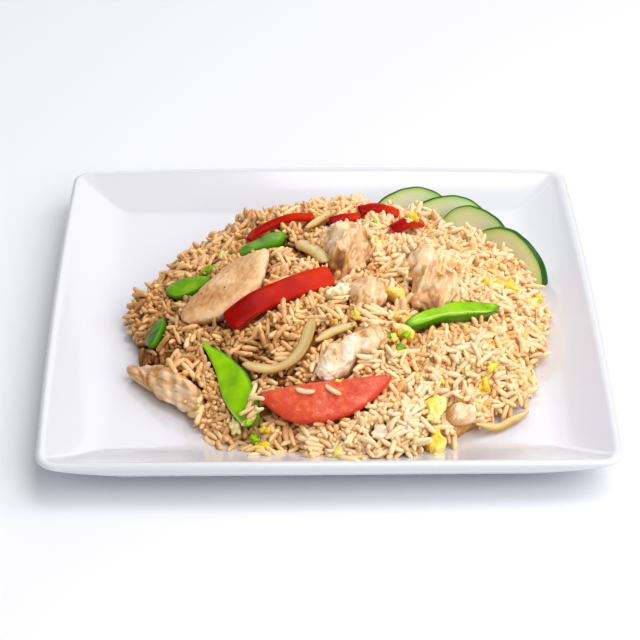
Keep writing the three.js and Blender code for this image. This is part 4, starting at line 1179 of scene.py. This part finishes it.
def showing(rows):
    """Those of the balls that stand out of the smooth heap, or lie less than 1 mm under its surface."""
    return rows[rows[:, 2] > heap_top(rows[:, 0], rows[:, 1]) - 1.0]


rough_cover, smooth_cover = showing(rough_balls), showing(smooth_balls)


def in_plan(x, y, cell, other_x, other_y):
    """Index pairs of places and other places that are near each other in plan, with their distances."""
    spots = np.column_stack([x, y, np.zeros(len(x))])
    others = np.column_stack([other_x, other_y, np.zeros(len(other_x))])
    i, j = near_pairs(spots, others, cell)
    return i, j, np.hypot(*(spots[i] - others[j])[:, :2].T)


def beside(x, y, discs, reach):
    """Distance from each place to the nearest of the discs, in plan, or reach where none is nearer."""
    i, j, far = in_plan(x, y, reach + 3, discs[:, 0], discs[:, 1])
    out = np.full(len(x), float(reach))
    np.minimum.at(out, i, far - discs[j, 3])
    return out


def covered(x, y):
    """True from 0.6 mm inside a rough piece's edge inwards, and up to 0.9 mm past a smooth one's."""
    return (beside(x, y, rough_cover, 1.0) < -0.6) | (beside(x, y, smooth_cover, 3.0) < 0.9)


def bank(x, y):
    """How much higher rice lies beside meat and egg, up to 2.5 mm, and how near a smooth piece is, 1 to 0."""
    bank_height, bank_width, low_width = 2.5, 4.0, 8.0
    off = np.clip(beside(x, y, rough_cover, 9.0), 0, None)
    low = np.clip(1 - beside(x, y, smooth_cover, low_width) / low_width, 0, 1)
    return np.where(low > 0, 0, bank_height * np.exp(-((off / bank_width) ** 2))), low


centre, ahead, length, width, target = scatter_grains(rng, covered, bank)
centre, ahead = relax_grains(centre, ahead, length, width, target, balls)

# Single grains laid one by one, as x, y and direction: on the tomato and on the front pod's lower end, both in
# the piece's own u and v, and on the rice between the two
LAID_TOMATO = [(-9, 4, 0.95, -0.3, 0.05), (3.5, 2.5, 0.75, -0.65, -0.1)]
LAID_POD = [
    (20, 4, 0.5, 0.5, 0.7), (22, 1, 0.9, 0.3, 0.3), (24.5, 3.5, 0.3, -0.7, 0.5), (26, -0.5, 0.7, 0.6, 0.2),
    (17, 7, 0.4, 0.7, 0.6), (22, 6.5, 0.8, -0.4, 0.3), (27, 3, 0.9, 0.2, 0.5),
]
LAID_RICE = [
    (-31.5, -87.5, 0.5, 0.7, 0.4), (-29.5, -90, 0.8, -0.3, 0.4), (-33, -84.5, 0.9, 0.3, 0.2),
    (-30.5, -83.5, 0.3, 0.8, 0.4), (-28, -86.5, 0.7, -0.6, 0.3), (-35, -81.5, 0.2, -0.7, 0.6),
    (-27, -90, 0.6, 0.6, 0.5),
]
LAID_LENGTH, LAID_WIDTH = 9.5, 2.6
tomato, front_pod = TOMATO["tomato_wedge"], PEAS["snow_pea_front"]
on_tomato, on_pod, on_rice = (np.array(rows, float) for rows in (LAID_TOMATO, LAID_POD, LAID_RICE))
laid = np.concatenate([on_tomato, on_pod, on_rice])
centre = np.concatenate([
    centre,
    draped(tomato, *on_tomato[:, :2].T, np.full(len(on_tomato), tomato["top"] + 0.9)),
    draped(front_pod, *on_pod[:, :2].T, np.linspace(3.4, 4.4, len(on_pod))),
    np.column_stack([on_rice[:, :2], heap_top(*on_rice[:, :2].T) + 0.3]),
])
ahead = np.concatenate([ahead, unit(laid[:, 2:])])
length = np.append(length, np.full(len(laid), LAID_LENGTH))
width = np.append(width, np.full(len(laid), LAID_WIDTH))

# Tone of the grains: a mean, a stray of each grain and patches, then painted shade and light: more on high
# grains and less on deep ones, more to the right and less to the left, which is partly painted shade and
# partly sauce, and more at the front. Above PALE it rises by a share only.
TONE, STRAY, PATCH, HIGH, RIGHT, FRONT, PALE, PALE_SHARE = 0.48, 0.08, 0.1, 0.095, 0.004, 0.0026, 0.68, 0.4
_, height = over_heap(centre)
tone = TONE + rng.normal(0, STRAY, len(centre)) + PATCH * noise(centre, 22, 3)
# Painted shade and light: deep grains darker, high grains paler.
tone = tone + HIGH * np.clip(height + 0.8, -3.5, 1.8)
# Painted shade, partly sauce: darker to the left. Painted light: paler at the front.
tone = tone + RIGHT * np.clip(centre[:, 0], -85, 40) + FRONT * np.clip(-60 - centre[:, 1], 0, 50)
tone = np.where(tone > PALE, PALE + PALE_SHARE * (tone - PALE), tone)


def on_top(x, y, reach=2.2):
    """Height of the highest grain end, grain middle or piece within reach of each place."""
    third = ahead * (length / 3)[:, None]
    ends = np.concatenate([centre, centre + third, centre - third])
    tops = np.concatenate([ends[:, 2] + np.tile(width, 3) / 2, balls[:, 2] + balls[:, 3]])
    i, j, far = in_plan(
        x, y, reach, np.concatenate([ends[:, 0], balls[:, 0]]), np.concatenate([ends[:, 1], balls[:, 1]])
    )
    high = np.full(len(x), -9.0)
    np.maximum.at(high, i[far < reach], tops[j[far < reach]])
    return high


rice_core(packed_rice_in_painted_shade())
rice_finish = fried_rice_grain()
# The kinds split the grains by tone, which holds painted shade and light as well as stain.
kinds = ["rice_grains_browned", "rice_grains_tan", "rice_grains_light", "rice_grains_pale"]
quarter = np.searchsorted(np.quantile(tone, [0.25, 0.5, 0.75]), tone)
for number, key in enumerate(kinds):
    pick = quarter == number
    grain_meshes(centre[pick], ahead[pick], length[pick], width[pick], tone[pick], rng, key, rice_finish)


def strewn(rng, bearing, low, high):
    """Places in the given directions from the heap's middle, evenly between two shares of its area."""
    out = np.sqrt(rng.uniform(low, high, len(bearing))) * heap_reach(bearing)
    return HEAP_X + out * np.cos(bearing), HEAP_Y + out * np.sin(bearing)


# Egg crumbs as x, y, size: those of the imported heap, then fine ones, most of them to the right
EGG_CRUMBS = [
    (26, 14, 8), (27, 12, 6), (14, -50, 8), (36, -52, 7), (48, -107, 8), (50, -122, 7), (74, -82, 9),
    (77, -78, 6), (95, -26, 9), (104, -12, 9), (107, -8, 6), (104, -28, 6), (86, -8, 12), (92, -5, 9),
    (80, -10, 8), (4, -122, 11), (9, -121, 8), (-31, -112, 8), (-30, -107, 6), (-44, -102, 8), (-51, 17, 8),
    (-60, 3, 6), (45, 40, 8), (43, 36, 6), (31, -66, 7), (4, -97, 6),
]
GREEN_CRUMBS = [
    (34, -72, 5), (27, -69, 7), (26, 31, 4), (37, -67, 6), (-58, 0, 9), (-62, -3, 6), (-35, -108, 6),
    (-38, -109, 5),
]
FINE_CRUMBS, SPECKS = 70, 420
fine_x, fine_y = strewn(rng, rng.normal(-0.35, 0.9, FINE_CRUMBS), 0.15, 0.9)
fine = np.column_stack([fine_x, fine_y, rng.uniform(1.6, 3.6, FINE_CRUMBS)])
crumbs = np.concatenate([np.array(EGG_CRUMBS, float), fine])
crumb_x, crumb_y, crumb_size = crumbs.T
keep = ~(covered(crumb_x, crumb_y) | behind_slices(crumb_x, crumb_y)) | (crumb_size > 5)
crumb_x, crumb_y, crumb_size = crumbs[keep].T
crumbs = np.column_stack([crumb_x, crumb_y, on_top(crumb_x, crumb_y) - 0.25 * crumb_size])
curd_meshes(crumbs, crumb_size, np.arange(len(crumbs)) * 1.0, "egg_crumbs", curd, "egg_yolk")
green_x, green_y, green_size = np.array(GREEN_CRUMBS, float).T
greens = np.column_stack([green_x, green_y, on_top(green_x, green_y) - 0.3])
curd_meshes(greens, green_size, np.arange(len(greens)) * 1.0, "green_crumbs", pod, "snow_pea", flat=0.4)

# Ground black pepper on grains, chicken and tomato
speck_x, speck_y = strewn(rng, rng.uniform(0, 2 * np.pi, SPECKS), 0, 0.95)
specks = np.column_stack([speck_x, speck_y, on_top(speck_x, speck_y, 1.2)])
specks = specks[specks[:, 2] > 0]
speck_size = rng.uniform(0.4, 1.0, len(specks))
speck_seed = rng.uniform(0, 99, len(specks))
curd_meshes(specks, speck_size, speck_seed, "pepper_specks", ground_pepper(), "rice", 0.7, 4, 6)

# Stage, light and camera
bpy.ops.mesh.primitive_plane_add(size=6.0)
floor = bpy.context.object
floor.name = "studio_floor"
floor.data.materials.append(finish_of("studio_paper", Base_Color="#f0f0f5", Roughness=0.7)[0])

world = bpy.data.worlds.new("studio")
bpy.context.scene.world = world
world.use_nodes = True
background = world.node_tree.nodes["Background"]
background.inputs["Color"].default_value = linear("#f2f2f8")
background.inputs["Strength"].default_value = 0.4


def set_up(name, data, place, right, back):
    """A lamp or camera at a place in millimetres, its right side and its back in the given directions."""
    made = bpy.data.objects.new(name, data)
    bpy.context.scene.collection.objects.link(made)
    turn = np.column_stack([right, np.cross(back, right), back])
    made.matrix_world = Matrix.Translation([c * MM for c in place]) @ Matrix(turn.tolist()).to_4x4()
    return made


def softbox(name, place, size, power):
    """A square area light at a place, turned to the middle of the plate's food; millimetres and watts."""
    data = bpy.data.lights.new(name, "AREA")
    data.energy = power
    data.size = size * MM
    back = unit(np.array(place, float) - np.array([0.0, 0.0, 20.0]))
    set_up(name, data, place, unit(np.cross([0.0, 0.0, 1.0], back)), back)


softbox("overhead_softbox", (380, -60, 1800), 1000, 12.0)
softbox("side_softbox", (1050, 150, 1050), 850, 5.5)
softbox("front_softbox", (600, -900, 1000), 1100, 11.0)
softbox("back_softbox", (50, 1350, 850), 900, 2.7)

# Camera: found from the four corners of the rim in the photo, 640 x 640
CAMERA_FOCAL_PX, PHOTO_PX, SENSOR = 2318.35, 640.0, 36.0
CAMERA_PLACE = (-23.91, -978.97, 659.13)
CAMERA_ELEVATION, CAMERA_AZIMUTH, CAMERA_ROLL = np.radians([33.4609, -1.2589, 0.3158])
lens = bpy.data.cameras.new("camera")
lens.sensor_width = SENSOR
lens.lens = CAMERA_FOCAL_PX * SENSOR / PHOTO_PX
lens.clip_start = 0.05
flat = np.cos(CAMERA_ELEVATION)
back = np.array([np.sin(CAMERA_AZIMUTH) * flat, -np.cos(CAMERA_AZIMUTH) * flat, np.sin(CAMERA_ELEVATION)])
right = np.array([np.cos(CAMERA_AZIMUTH), np.sin(CAMERA_AZIMUTH), 0.0])
right = right * np.cos(CAMERA_ROLL) + np.cross(back, right) * np.sin(CAMERA_ROLL)
bpy.context.scene.camera = set_up("camera", lens, CAMERA_PLACE, right, back)
bpy.context.scene.view_settings.view_transform = "Standard"
